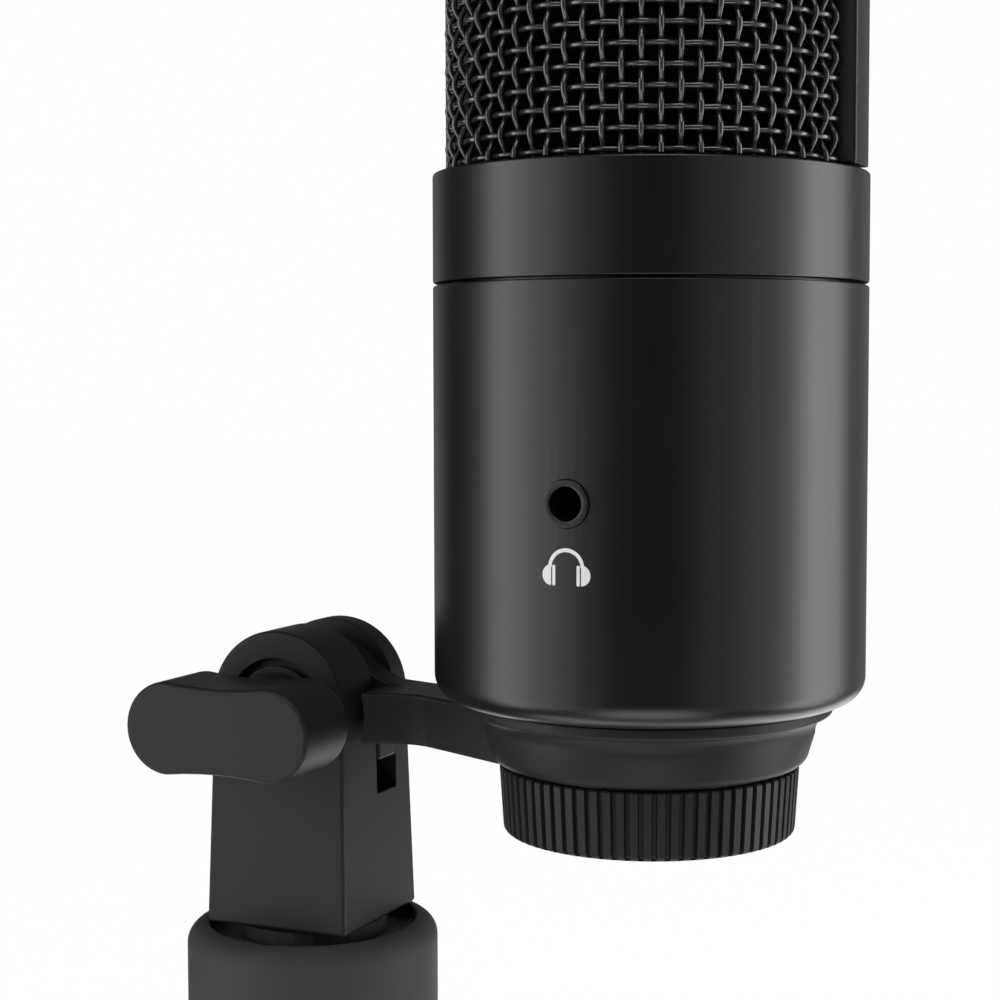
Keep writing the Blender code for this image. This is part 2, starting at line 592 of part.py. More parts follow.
def make_clamp_nut(finishes, mic):
    """A ribbed nut on the stub, with a washer let into its top."""
    per_rib = 2 * pi / NUT_RIBS
    land = per_rib * RIB_SHARE / 2
    floor = (per_rib - 2 * land) / 4
    bm = bmesh.new()
    rings = []
    for radius, level in ((NUT_BOTTOM_RADIUS, NUT_BOTTOM), (NUT_TOP_RADIUS, NUT_TOP)):
        points = []
        for rib in range(NUT_RIBS):
            middle = rib * per_rib
            valley = middle + per_rib / 2
            root = radius - RIB_HEIGHT
            for angle, reach in ((middle - land, radius), (middle + land, radius),
                                 (valley - floor, root), (valley + floor, root)):
                points.append(bm.verts.new((reach * cos(angle), reach * sin(angle), level)))
        rings.append(points)
    bm.faces.new(rings[0])
    bm.faces.new(rings[1])
    for low, high in zip(*[zip(ring, ring[1:] + ring[:1]) for ring in rings]):
        bm.faces.new((low[0], low[1], high[1], high[0]))
    nut = add_piece("clamp_nut", bm, finishes["plastic"], mic)
    bore = STUB_RADIUS + THREAD_GAP
    seat = NUT_TOP - WASHER_THICKNESS - SEAT_GAP
    well = NUT_WASHER_RADIUS + SEAT_GAP
    outline = [(0, NUT_BOTTOM - CUT_MARGIN), (bore, NUT_BOTTOM - CUT_MARGIN), (bore, seat), (well, seat)]
    outline += [(well, NUT_TOP + CUT_MARGIN), (0, NUT_TOP + CUT_MARGIN)]
    combine(nut, turned("nut_bore", outline, None, mic))
    tube("nut_washer", bore, NUT_WASHER_RADIUS, seat + SEAT_GAP, NUT_TOP, finishes["steel"], mic)


def make_base(finishes, mic):
    """The plug in the body's floor, whose stub carries the nut and holds the USB socket."""
    stub_end = NUT_BOTTOM + STUB_SHY
    bore = STUB_RADIUS - STUB_WALL
    flange_top = FLANGE_BOTTOM + FLANGE_THICKNESS
    outline = [(bore, stub_end), (STUB_RADIUS, stub_end), (STUB_RADIUS, FLANGE_BOTTOM)]
    outline += [(FLANGE_RADIUS, FLANGE_BOTTOM), (FLANGE_RADIUS, flange_top), (bore, flange_top)]
    plug = turned("base_plug", outline, finishes["metal"], mic)
    half_width = USB_WIDTH / 2
    half_depth = USB_DEPTH / 2
    socket_end = stub_end + SEAT_GAP
    socket = box("usb_socket", (-half_width, -half_depth, socket_end),
                 (half_width, half_depth, socket_end + USB_LENGTH), finishes["steel"], mic)
    mouth = box("usb_mouth", (-USB_MOUTH_WIDTH / 2, -USB_MOUTH_DEPTH / 2, socket_end - CUT_MARGIN),
                (USB_MOUTH_WIDTH / 2, USB_MOUTH_DEPTH / 2, socket_end + USB_MOUTH_LENGTH), None, mic)
    tongue = box("usb_tongue", (-USB_TONGUE_WIDTH / 2, -USB_TONGUE_DEPTH / 2, socket_end + USB_TONGUE_SHY),
                 (USB_TONGUE_WIDTH / 2, USB_TONGUE_DEPTH / 2, socket_end + USB_LENGTH), None, mic)
    combine(mouth, tongue)
    combine(socket, mouth)
    return plug


def make_body(finishes, mic):
    """A drawn cup: floor hole for the stub, one hole for the jack and one for the gain control."""
    groove = BODY_HEIGHT - GROOVE_CHAMFER
    outline = [(STUB_HOLE, 0)]
    outline += arc((BODY_RADIUS - BODY_ROUND, BODY_ROUND), BODY_ROUND, -pi / 2, 0)
    outline += [(BODY_RADIUS, groove), (BODY_RADIUS - GROOVE_CHAMFER, BODY_HEIGHT)]
    outline += [(BODY_INNER, BODY_HEIGHT)]
    outline += [(BODY_INNER, BODY_ROUND), (BODY_RADIUS - BODY_ROUND, BODY_FLOOR), (STUB_HOLE, BODY_FLOOR)]
    shell = turned("body_shell", outline, finishes["paint"], mic)
    inside = BODY_RADIUS / 2
    outside = BODY_RADIUS + CUT_MARGIN
    jack_hole = cylinder("jack_hole", JACK_BARREL_RADIUS + SEAT_GAP, inside, outside, None, mic,
                         2 * SMALL_STEPS, "-Y", (0, 0, JACK_RISE))
    combine(shell, jack_hole)
    bushing_hole = cylinder("bushing_hole", BUSHING_RADIUS + SEAT_GAP, inside, outside, None, mic,
                            2 * SMALL_STEPS, "+Y", (0, 0, JACK_RISE))
    combine(shell, bushing_hole)
    return shell


def screw(name, grip, finish, parent, along, at, pieces):
    """A headed screw whose seat is at the point given, and its clearance hole in each piece."""
    head = SMALL_HEAD_HEIGHT + SEAT_GAP
    outline = [(0, -grip), (SMALL_SCREW_RADIUS, -grip), (SMALL_SCREW_RADIUS, SEAT_GAP)]
    outline += [(SMALL_HEAD_RADIUS, SEAT_GAP), (SMALL_HEAD_RADIUS, head), (0, head)]
    turned(name, outline, finish, parent, SMALL_STEPS, along, at)
    hole = cylinder(name + "_hole", SMALL_SCREW_RADIUS + SEAT_GAP, -grip - SEAT_GAP, head, None, parent,
                    SMALL_STEPS, along, at)
    for piece in pieces:
        combine(piece, hole)


def make_chassis(finishes, mic, shell, plug):
    """Two rails on the base plug carry a board on each face and the deck of the head."""
    rails = []
    for side, name in ((-1, "left"), (1, "right")):
        middle = side * RAIL_OFFSET
        rail = box(f"chassis_rail_{name}", (middle - RAIL_WIDTH / 2, -RAIL_DEPTH / 2, RAIL_BOTTOM),
                   (middle + RAIL_WIDTH / 2, RAIL_DEPTH / 2, RAIL_TOP), finishes["plastic"], mic)
        rails.append(rail)
        make_base_screw(name, middle, finishes, mic, [shell, plug, rail])
    face = RAIL_DEPTH / 2 + SEAT_GAP
    rise = JACK_RISE
    half_width = BOARD_WIDTH / 2
    main = box("main_board", (-half_width, -face - BOARD_THICKNESS, RAIL_BOTTOM + BOARD_SHY_BELOW),
               (half_width, -face, RAIL_TOP - BOARD_SHY_ABOVE), finishes["board"], mic)
    gain = box("gain_board", (-half_width, face, rise - GAIN_BOARD_HEIGHT / 2),
               (half_width, face + BOARD_THICKNESS, rise + GAIN_BOARD_HEIGHT / 2), finishes["board"], mic)
    outer = face + BOARD_THICKNESS
    for index, (side, name) in enumerate(((-1, "left"), (1, "right"))):
        spot = side * RAIL_OFFSET
        high = rise + BOARD_SCREW_SPREAD
        screw(f"main_board_screw_{name}", BOARD_SCREW_GRIP, finishes["steel"], mic, "-Y",
              (spot, -outer, high), [main, rails[index]])
        screw(f"gain_board_screw_{name}", BOARD_SCREW_GRIP, finishes["steel"], mic, "+Y",
              (spot, outer, high), [gain, rails[index]])
    return outer, rails


def make_base_screw(name, middle, finishes, mic, pieces):
    """A screw up through the floor and the plug into a rail, its head sunk in the floor."""
    seat = SEAT_GAP + SMALL_HEAD_HEIGHT
    grip = seat + SEAT_GAP + LONG_SCREW_GRIP
    outline = [(0, SEAT_GAP), (SMALL_HEAD_RADIUS, SEAT_GAP), (SMALL_HEAD_RADIUS, seat)]
    outline += [(SMALL_SCREW_RADIUS, seat), (SMALL_SCREW_RADIUS, grip), (0, grip)]
    turned(f"base_screw_{name}", outline, finishes["steel"], mic, SMALL_STEPS, at=(middle, 0, 0))
    wide = SMALL_HEAD_RADIUS + SEAT_GAP
    slim = SMALL_SCREW_RADIUS + SEAT_GAP
    outline = [(0, -CUT_MARGIN), (wide, -CUT_MARGIN), (wide, seat + SEAT_GAP)]
    outline += [(slim, seat + SEAT_GAP), (slim, grip + SEAT_GAP), (0, grip + SEAT_GAP)]
    hole = turned(f"base_screw_{name}_hole", outline, None, mic, SMALL_STEPS, at=(middle, 0, 0))
    for piece in pieces:
        combine(piece, hole)


def make_jack(finishes, mic, board_face):
    """The 3.5 mm jack: its case stands on the main board and its barrel ends just proud of the body."""
    half = JACK_CASE_WIDTH / 2
    case_front = sqrt(PLUG_RADIUS ** 2 - half ** 2)
    jack = box("headphone_jack", (-half, -case_front, JACK_RISE - half),
               (half, -board_face - SEAT_GAP, JACK_RISE + half), finishes["plastic"], mic)
    barrel = cylinder("jack_barrel", JACK_BARREL_RADIUS, case_front / 2, BODY_RADIUS + JACK_PROUD, None, mic,
                      2 * SMALL_STEPS, "-Y", (0, 0, JACK_RISE))
    combine(jack, barrel, "UNION")
    bore = cylinder("jack_bore", JACK_BORE_RADIUS, BODY_RADIUS - JACK_BORE_DEPTH, BODY_RADIUS + CUT_MARGIN,
                    None, mic, 2 * SMALL_STEPS, "-Y", (0, 0, JACK_RISE))
    combine(jack, bore)


def make_gain_control(finishes, mic, knob_axis, board_face):
    half = POT_WIDTH / 2
    low = board_face + SEAT_GAP
    bushing_end = BODY_RADIUS - SEAT_GAP
    pot = box("gain_pot", (-half, low, JACK_RISE - half), (half, low + POT_DEPTH, JACK_RISE + half),
              finishes["steel"], mic)
    bushing = cylinder("pot_bushing", BUSHING_RADIUS, low + POT_DEPTH / 2, bushing_end, None, mic,
                       2 * SMALL_STEPS, "+Y", (0, 0, JACK_RISE))
    combine(pot, bushing, "UNION")
    shaft_low = bushing_end - SHAFT_IN_BUSHING
    shaft_bore = cylinder("shaft_bore", SHAFT_RADIUS + SEAT_GAP, shaft_low - SEAT_GAP,
                          BODY_RADIUS + CUT_MARGIN, None, mic, 2 * SMALL_STEPS, "+Y", (0, 0, JACK_RISE))
    combine(pot, shaft_bore)
    knob_low = SEAT_GAP
    knob_high = knob_low + KNOB_DEPTH
    well = knob_high - KNOB_FACE
    outline = [(SHAFT_RADIUS + SEAT_GAP, knob_low), (KNOB_RADIUS, knob_low)]
    outline += arc((KNOB_RADIUS - KNOB_ROUND, knob_high - KNOB_ROUND), KNOB_ROUND, 0, pi / 2)
    outline += [(0, knob_high)]
    outline = [(0, well), (SHAFT_RADIUS + SEAT_GAP, well)] + outline
    turned("gain_knob", outline, finishes["plastic"], knob_axis, 2 * SMALL_STEPS, "+Y")
    cylinder("pot_shaft", SHAFT_RADIUS, shaft_low - BODY_RADIUS, well - SEAT_GAP, finishes["steel"],
             knob_axis, 2 * SMALL_STEPS, "+Y")


def make_ring_and_deck(finishes, mic, rails):
    """The head ring: a spigot in the body below, and a lip that the deck is screwed up against."""
    lip_inner = RING_INNER - LIP_WIDTH
    outline = [(RING_INNER, RING_BOTTOM - SPIGOT_DEPTH), (PLUG_RADIUS, RING_BOTTOM - SPIGOT_DEPTH)]
    outline += [(PLUG_RADIUS, RING_BOTTOM), (BODY_RADIUS - GROOVE_CHAMFER, RING_BOTTOM)]
    outline += [(BODY_RADIUS, RING_BOTTOM + GROOVE_CHAMFER), (BODY_RADIUS, RING_TOP - RING_CHAMFER_HEIGHT)]
    outline += [(BODY_RADIUS - RING_CHAMFER_WIDTH, RING_TOP), (RING_INNER, RING_TOP)]
    outline += [(RING_INNER, LIP_TOP), (lip_inner, LIP_TOP)]
    outline += [(lip_inner, LIP_BOTTOM), (RING_INNER, LIP_BOTTOM)]
    ring = turned("head_ring", outline, finishes["paint"], mic)
    deck = cylinder("capsule_deck", RING_INNER - SEAT_GAP, DECK_BOTTOM, DECK_TOP, finishes["plastic"], mic,
                    BODY_STEPS)
    for index, (side, name) in enumerate(((-1, "left"), (1, "right"))):
        screw(f"deck_screw_{name}", LONG_SCREW_GRIP, finishes["steel"], mic, "Z",
              (side * RAIL_OFFSET, 0, LIP_TOP), [ring, deck, rails[index]])


def make_head_frame(finishes, mic):
    """Two hoops joined by two side bands that stand out to the body's own radius."""
    half = BAND_WIDTH / 2
    hoop_top = CAP_BOTTOM + HOOP_HEIGHT
    frame = tube("head_frame", HOOP_INNER, HOOP_OUTER, GRILLE_BOTTOM, GRILLE_BOTTOM + HOOP_HEIGHT,
                 finishes["paint"], mic)
    upper = tube("upper_hoop", HOOP_INNER, HOOP_OUTER, GRILLE_TOP - HOOP_HEIGHT, hoop_top, None, mic)
    combine(frame, upper, "UNION")
    reach = asin(half / BODY_RADIUS)
    root = (HOOP_INNER + HOOP_OUTER) / 2
    for turn, name in ((0, "right"), (pi, "left")):
        outline = [(root, -half)] + arc((0, 0), BODY_RADIUS, -reach, reach, 2) + [(root, half)]
        outline = [(x * cos(turn), y * cos(turn)) for x, y in outline]
        band = prism(f"{name}_band", outline, GRILLE_BOTTOM, GRILLE_TOP, None, mic)
        bevel(band, BAND_EDGE)
        combine(frame, band, "UNION")


def make_grilles(finishes, mic):
    """Front and rear grille, each a part cylinder between the side bands, with a lining tube inside."""
    inner = GRILLE_RADIUS - GRILLE_WALL
    start = asin((BAND_WIDTH / 2 + SEAT_GAP) / inner)
    for name, turn in (("front_grille", 0), ("rear_grille", pi)):
        outer_edge = arc((0, 0), GRILLE_RADIUS, turn + start, turn + pi - start, BODY_STEPS // 2)
        inner_edge = arc((0, 0), inner, turn + pi - start, turn + start, BODY_STEPS // 2)
        prism(name, outer_edge + inner_edge, GRILLE_BOTTOM, GRILLE_TOP, finishes["mesh"], mic)
    tube("grille_liner", LINER_OUTER - LINER_WALL, LINER_OUTER, GRILLE_BOTTOM, GRILLE_TOP,
         finishes["foam"], mic)


def make_cap(finishes, mic):
    top = CAP_BOTTOM + CAP_HEIGHT
    well = HOOP_OUTER + SEAT_GAP
    roof = top - CAP_WALL
    outline = [(0, roof), (well, roof), (well, CAP_BOTTOM), (BODY_RADIUS, CAP_BOTTOM)]
    outline += arc((BODY_RADIUS - CAP_ROUND, top - CAP_ROUND), CAP_ROUND, 0, pi / 2, 2 * ARC_STEPS)
    outline += [(0, top)]
    turned("top_cap", outline, finishes["paint"], mic)


def make_capsule(finishes, mic):
    """A cup with a diaphragm across its mouth, facing the front, on a post from the deck."""
    half = CAPSULE_DEPTH / 2
    center = (0, 0, CAPSULE_LEVEL)
    step = half - DIAPHRAGM_RECESS
    mouth = DIAPHRAGM_RADIUS + SEAT_GAP
    shelf = step - SEAT_GAP
    room = DIAPHRAGM_RADIUS - DIAPHRAGM_RECESS
    outline = [(0, -half), (CAPSULE_RADIUS, -half), (CAPSULE_RADIUS, half), (mouth, half), (mouth, shelf)]
    outline += [(room, shelf), (room, 0), (0, 0)]
    turned("capsule_housing", outline, finishes["metal"], mic, 2 * SMALL_STEPS, "+Y", center)
    cylinder("diaphragm", DIAPHRAGM_RADIUS, step, step + DIAPHRAGM_THICKNESS, finishes["brass"], mic,
             2 * SMALL_STEPS, "+Y", center)
    foot = DECK_TOP + SEAT_GAP
    foot_top = foot + HOLDER_FOOT_HEIGHT
    post_top = CAPSULE_LEVEL - CAPSULE_RADIUS - SEAT_GAP
    outline = [(0, foot), (HOLDER_FOOT_RADIUS, foot), (HOLDER_FOOT_RADIUS, foot_top)]
    outline += [(HOLDER_POST_RADIUS, foot_top), (HOLDER_POST_RADIUS, post_top), (0, post_top)]
    turned("capsule_holder", outline, finishes["plastic"], mic, 2 * SMALL_STEPS)


def make_finishes():
    return {
        "paint": make_material("satin_black_paint", (0.012, 0.012, 0.013), 0.32, 0.0),
        "plastic": make_material("matte_black_plastic", (0.02, 0.02, 0.021), 0.55, 0.0),
        "metal": make_material("black_metal", (0.014, 0.014, 0.015), 0.4, 0.0),
        "steel": make_material("plain_steel", (0.5, 0.5, 0.5), 0.35, 1.0),
        "mesh": make_material("black_wire", (0.03, 0.03, 0.031), 0.3, 0.0),
        "rubber": make_material("black_rubber", (0.015, 0.015, 0.015), 0.8, 0.0),
        "foam": make_material("black_foam", (0.006, 0.006, 0.006), 0.95, 0.0),
        "board": make_material("green_board", (0.02, 0.12, 0.05), 0.5, 0.0),
        "brass": make_material("gold_film", (0.75, 0.55, 0.22), 0.3, 1.0),
    }


def main():
    clear_scene()
    finishes = make_finishes()
    stand = make_axis("stand_axis", (STAND_X, 0, 0))
    tilt = make_axis("tilt_axis", (0, 0, PIVOT_LEVEL), stand)
    handle_axis = make_axis("handle_axis", (0, 0, PIVOT_LEVEL), stand)
    mic = make_axis("mic_axis", (MIC_X, 0, BODY_BOTTOM))
    knob_axis = make_axis("knob_axis", (0, BODY_RADIUS, JACK_RISE), mic)
    hub = make_hub(finishes, stand)
    make_legs(finishes, stand, hub)
    screw_hole = make_block(finishes, stand, tilt)
    make_handle(finishes, handle_axis, screw_hole)
    make_arm(finishes, tilt, screw_hole)
    make_clamp_nut(finishes, mic)
    plug = make_base(finishes, mic)
    shell = make_body(finishes, mic)
    board_face, rails = make_chassis(finishes, mic, shell, plug)
    make_jack(finishes, mic, board_face)
    make_gain_control(finishes, mic, knob_axis, board_face)
    make_ring_and_deck(finishes, mic, rails)
    make_head_frame(finishes, mic)
    make_grilles(finishes, mic)
    make_cap(finishes, mic)
    make_capsule(finishes, mic)


main()
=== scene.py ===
# %% [markdown]
# A desktop microphone on a folding tripod, dressed for a studio picture.
# The solid model is loaded first as a fixed frame, and every finished piece is built where its
# solid stands.

import json
from math import atan2, cos, hypot, pi, radians, sin

import bmesh
import bpy
from mathutils import Matrix, Vector


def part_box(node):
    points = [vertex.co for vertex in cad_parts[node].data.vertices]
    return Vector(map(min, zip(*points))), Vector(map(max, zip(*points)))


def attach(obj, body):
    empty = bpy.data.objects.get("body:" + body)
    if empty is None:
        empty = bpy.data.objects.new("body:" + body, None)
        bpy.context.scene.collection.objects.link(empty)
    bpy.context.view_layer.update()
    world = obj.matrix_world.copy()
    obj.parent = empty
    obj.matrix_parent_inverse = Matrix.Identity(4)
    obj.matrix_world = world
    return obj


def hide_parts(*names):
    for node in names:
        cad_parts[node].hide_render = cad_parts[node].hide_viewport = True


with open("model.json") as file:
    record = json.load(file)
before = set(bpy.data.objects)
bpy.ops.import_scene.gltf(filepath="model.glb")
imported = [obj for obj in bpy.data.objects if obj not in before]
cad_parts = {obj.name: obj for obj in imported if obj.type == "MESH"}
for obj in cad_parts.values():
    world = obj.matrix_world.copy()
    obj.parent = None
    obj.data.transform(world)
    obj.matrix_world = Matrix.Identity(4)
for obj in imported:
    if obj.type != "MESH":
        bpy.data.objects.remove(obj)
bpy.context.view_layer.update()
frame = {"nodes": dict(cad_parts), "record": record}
body_low, body_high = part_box("body_shell")
ring_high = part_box("head_ring")[1]
hub_low, hub_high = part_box("stand_hub")
mic_axis = (body_low + body_high) / 2
hub_axis = (hub_low + hub_high) / 2
MM = 0.001
print("frame:", len(frame["nodes"]), "solids, microphone axis at x =", round(mic_axis.x, 5))

# %% [markdown]
# The picture is a close view from the jack's side, a little to the right of it and slightly from above.
# The camera stands a quarter of a metre from the microphone's axis with a long lens.
# Its place was worked out from the edges of the round body, so it is set from the body and the head ring.

# %% Camera
CAMERA_TURN = radians(20.45)
CAMERA_REACH = 0.2288
camera_data = bpy.data.cameras.new("camera")
camera_data.lens = 71.04
camera_data.sensor_width = 36
camera_data.shift_x = -0.0691
camera_data.shift_y = -0.0038
camera_data.clip_start = 0.01
camera = bpy.data.objects.new("camera", camera_data)
camera.location = (
    mic_axis.x + CAMERA_REACH * sin(CAMERA_TURN),
    mic_axis.y - CAMERA_REACH * cos(CAMERA_TURN),
    ring_high.z - 21.86 * MM,
)
camera.rotation_euler = (pi / 2 - 0.0653, 0, CAMERA_TURN + 0.0409)
bpy.context.scene.collection.objects.link(camera)
bpy.context.scene.camera = camera
bpy.context.scene.view_settings.view_transform = "Standard"
print("camera at", [round(c, 4) for c in camera.location])

# %% [markdown]
# A black object is drawn by what it reflects, so the studio is mostly dark with soft panels in it.
# Upright strips stand round the object. The strong ones at its sides give the streaks on the round body,
# and the gap in front leaves its middle dark. Low panels light the bottom rounds, one behind
# lights the rims,
# and one overhead lights the top edges of rings and wires.
# Each panel is an area light that the camera itself doesn't see.

# %% Soft panels
PANEL_REACH = 0.62


def soft_panel(name, turn, height, width, tall, watts, reach=PANEL_REACH):
    """An area light round the microphone: turn 0 is the camera's side and 90 is its right."""
    way = CAMERA_TURN + radians(turn)
    data = bpy.data.lights.new(name, "AREA")
    data.shape = "RECTANGLE"
    data.size = width
    data.size_y = tall
    data.energy = watts
    panel = bpy.data.objects.new(name, data)
    place = Vector((mic_axis.x + reach * sin(way), -reach * cos(way), height))
    panel.location = place
    aim = Vector((mic_axis.x, 0, mic_axis.z)) - place
    panel.rotation_euler = aim.to_track_quat("-Z", "Y").to_euler()
    panel.visible_camera = False
    bpy.context.scene.collection.objects.link(panel)
    return panel


STRIPS = {
    -82: 1.78, -68: 0.93, -52: 0.74, -34: 0.27,
    30: 0.21, 50: 0.41, 70: 0.47, 90: 2.65, 108: 1.66,
}
for turn, watts in STRIPS.items():
    soft_panel(f"strip_{turn}", turn, 0.10, 0.17, 0.90, watts)
soft_panel("low_front_panel", 0, -0.40, 0.50, 0.40, 1.8, 0.45)
soft_panel("low_back_panel", 180, -0.40, 0.90, 0.90, 6.0, 0.35)
soft_panel("back_panel", 180, 0.15, 1.40, 0.60, 0.8, 0.70)
soft_panel("overhead_panel", 8, 0.85, 0.60, 0.35, 2.6, 0.45)

# %% [markdown]
# The floor is a plain pale sheet, and what is behind it is white.
# Both are made nearly white for the camera's own rays only, so they don't wash out the black finish.
# The floor neither blocks nor reflects light, so the low panels reach the object through it.

# %% Floor and backdrop
FLOOR_DROP = 0.2 * MM
bm = bmesh.new()
bmesh.ops.create_grid(bm, x_segments=1, y_segments=1, size=3.0)
bmesh.ops.translate(bm, vec=(0, 0, -FLOOR_DROP), verts=bm.verts)
floor_mesh = bpy.data.meshes.new("floor")
bm.to_mesh(floor_mesh)
bm.free()
floor = bpy.data.objects.new("floor", floor_mesh)
bpy.context.scene.collection.objects.link(floor)
floor.visible_glossy = False
floor.visible_diffuse = False
floor.visible_shadow = False

paper = bpy.data.materials.new("pale_paper")
paper.use_nodes = True
tree = paper.node_tree
matte = tree.nodes["Principled BSDF"]
matte.inputs["Base Color"].default_value = (0.5, 0.5, 0.5, 1)
matte.inputs["Roughness"].default_value = 0.9
glow = tree.nodes.new("ShaderNodeEmission")
glow.inputs["Strength"].default_value = 1.06
seen = tree.nodes.new("ShaderNodeLightPath")
share = tree.nodes.new("ShaderNodeMath")
share.operation = "MULTIPLY"
share.inputs[1].default_value = 0.93
blend = tree.nodes.new("ShaderNodeMixShader")
tree.links.new(seen.outputs["Is Camera Ray"], share.inputs[0])
tree.links.new(share.outputs[0], blend.inputs["Fac"])
tree.links.new(matte.outputs["BSDF"], blend.inputs[1])
tree.links.new(glow.outputs["Emission"], blend.inputs[2])
tree.links.new(blend.outputs["Shader"], tree.nodes["Material Output"].inputs["Surface"])
floor.data.materials.append(paper)

world = bpy.data.worlds.new("studio")
bpy.context.scene.world = world
world.use_nodes = True
tree = world.node_tree
dim = tree.nodes["Background"]
dim.inputs["Color"].default_value = (1, 1, 1, 1)
dim.inputs["Strength"].default_value = 0.01
white = tree.nodes.new("ShaderNodeBackground")
white.inputs["Color"].default_value = (1, 1, 1, 1)
seen = tree.nodes.new("ShaderNodeLightPath")
blend = tree.nodes.new("ShaderNodeMixShader")
tree.links.new(seen.outputs["Is Camera Ray"], blend.inputs["Fac"])
tree.links.new(dim.outputs["Background"], blend.inputs[1])
tree.links.new(white.outputs["Background"], blend.inputs[2])
tree.links.new(blend.outputs["Shader"], tree.nodes["World Output"].inputs["Surface"])
print("floor and backdrop made")

# %% [markdown]
# Every black finish here has a fine grain and small changes in gloss, only at different sizes
# and strengths.
# That is one node group with its sizes as inputs: a fine noise for the bump, and a slow one that shifts
# the colour and the roughness a little, as handling and spraying do.

# %% Grain as a node group
def new_group(name, inputs, outputs):
    """A shader node group with its sockets: (kind, name, value) inputs and (kind, name) outputs."""
    group = bpy.data.node_groups.new(name, "ShaderNodeTree")
    for kind, label, value in inputs:
        socket = group.interface.new_socket(name=label, in_out="INPUT", socket_type=kind)
        socket.default_value = value
    for kind, label in outputs:
        group.interface.new_socket(name=label, in_out="OUTPUT", socket_type=kind)
    start = group.nodes.new("NodeGroupInput")
    end = group.nodes.new("NodeGroupOutput")
    return group, start, end


def color_mix(tree):
    """A colour mix node's sockets: factor, first colour, second colour and result."""
    node = tree.nodes.new("ShaderNodeMix")
    node.data_type = "RGBA"
    return node.inputs[0], node.inputs[6], node.inputs[7], node.outputs[2]


COLOR, NUMBER = "NodeSocketColor", "NodeSocketFloat"
grain, start, end = new_group(
    "surface_grain",
    [
        (COLOR, "Color", (0.01, 0.01, 0.01, 1)),
        (COLOR, "Rubbed Color", (0.02, 0.02, 0.02, 1)),
        (NUMBER, "Roughness", 0.4),
        (NUMBER, "Roughness Spread", 0.08),
        (NUMBER, "Grain Scale", 4000.0),
        (NUMBER, "Patch Scale", 60.0),
    ],
    [(COLOR, "Color"), (NUMBER, "Roughness"), (NUMBER, "Height")],
)
place = grain.nodes.new("ShaderNodeTexCoord")
fine = grain.nodes.new("ShaderNodeTexNoise")
fine.inputs["Detail"].default_value = 3.0
slow = grain.nodes.new("ShaderNodeTexNoise")
slow.inputs["Detail"].default_value = 4.0
slow.inputs["Roughness"].default_value = 0.6
factor, first, second, tint = color_mix(grain)
shift = grain.nodes.new("ShaderNodeMapRange")
shift.inputs["From Min"].default_value = 0.3
shift.inputs["From Max"].default_value = 0.7
shift.inputs["To Min"].default_value = -0.5
shift.inputs["To Max"].default_value = 0.5
gloss = grain.nodes.new("ShaderNodeMath")
gloss.operation = "MULTIPLY_ADD"
grain.links.new(place.outputs["Object"], fine.inputs["Vector"])
grain.links.new(place.outputs["Object"], slow.inputs["Vector"])
grain.links.new(start.outputs["Grain Scale"], fine.inputs["Scale"])
grain.links.new(start.outputs["Patch Scale"], slow.inputs["Scale"])
grain.links.new(slow.outputs["Fac"], factor)
grain.links.new(start.outputs["Color"], first)
grain.links.new(start.outputs["Rubbed Color"], second)
grain.links.new(slow.outputs["Fac"], shift.inputs["Value"])
grain.links.new(shift.outputs["Result"], gloss.inputs[0])
grain.links.new(start.outputs["Roughness Spread"], gloss.inputs[1])
grain.links.new(start.outputs["Roughness"], gloss.inputs[2])
grain.links.new(tint, end.inputs["Color"])
grain.links.new(gloss.outputs["Value"], end.inputs["Roughness"])
grain.links.new(fine.outputs["Fac"], end.inputs["Height"])
print("group:", grain.name)

# %% [markdown]
# Edges of painted and moulded parts catch the light and lose a little of their colour where
# fingers rub them.
# This group finds the edges by how sharply the surface turns and breaks them up with noise.
# It is kept weak, because the object is nearly new.

# %% Edge rub as a node group
rub, start, end = new_group(
    "edge_rub",
    [
        (COLOR, "Color", (0.01, 0.01, 0.01, 1)),
        (COLOR, "Rubbed Color", (0.06, 0.06, 0.06, 1)),
        (NUMBER, "Amount", 0.3),
        (NUMBER, "Break Scale", 300.0),
    ],
    [(COLOR, "Color"), (NUMBER, "Mask")],
)
shape = rub.nodes.new("ShaderNodeNewGeometry")
crest = rub.nodes.new("ShaderNodeMapRange")
crest.inputs["From Min"].default_value = 0.52
crest.inputs["From Max"].default_value = 0.62
place = rub.nodes.new("ShaderNodeTexCoord")
patches = rub.nodes.new("ShaderNodeTexNoise")
patches.inputs["Detail"].default_value = 5.0
broken = rub.nodes.new("ShaderNodeMath")
broken.operation = "MULTIPLY"
mask = rub.nodes.new("ShaderNodeMath")
mask.operation = "MULTIPLY"
mask.use_clamp = True
factor, first, second, tint = color_mix(rub)
rub.links.new(shape.outputs["Pointiness"], crest.inputs["Value"])
rub.links.new(place.outputs["Object"], patches.inputs["Vector"])
rub.links.new(start.outputs["Break Scale"], patches.inputs["Scale"])
rub.links.new(crest.outputs["Result"], broken.inputs[0])
rub.links.new(patches.outputs["Fac"], broken.inputs[1])
rub.links.new(broken.outputs["Value"], mask.inputs[0])
rub.links.new(start.outputs["Amount"], mask.inputs[1])
rub.links.new(mask.outputs["Value"], factor)
rub.links.new(start.outputs["Color"], first)
rub.links.new(start.outputs["Rubbed Color"], second)
rub.links.new(tint, end.inputs["Color"])
rub.links.new(mask.outputs["Value"], end.inputs["Mask"])
print("group:", rub.name)

# %% [markdown]
# The black finishes differ in three things: how dark they are, how rough, and how coarse their grain is.
# The sprayed body is almost black and satin, the moulded stand parts are greyer and matte,
# and the wire has a thin semi-gloss coat. One maker sets up all of them from the two groups.

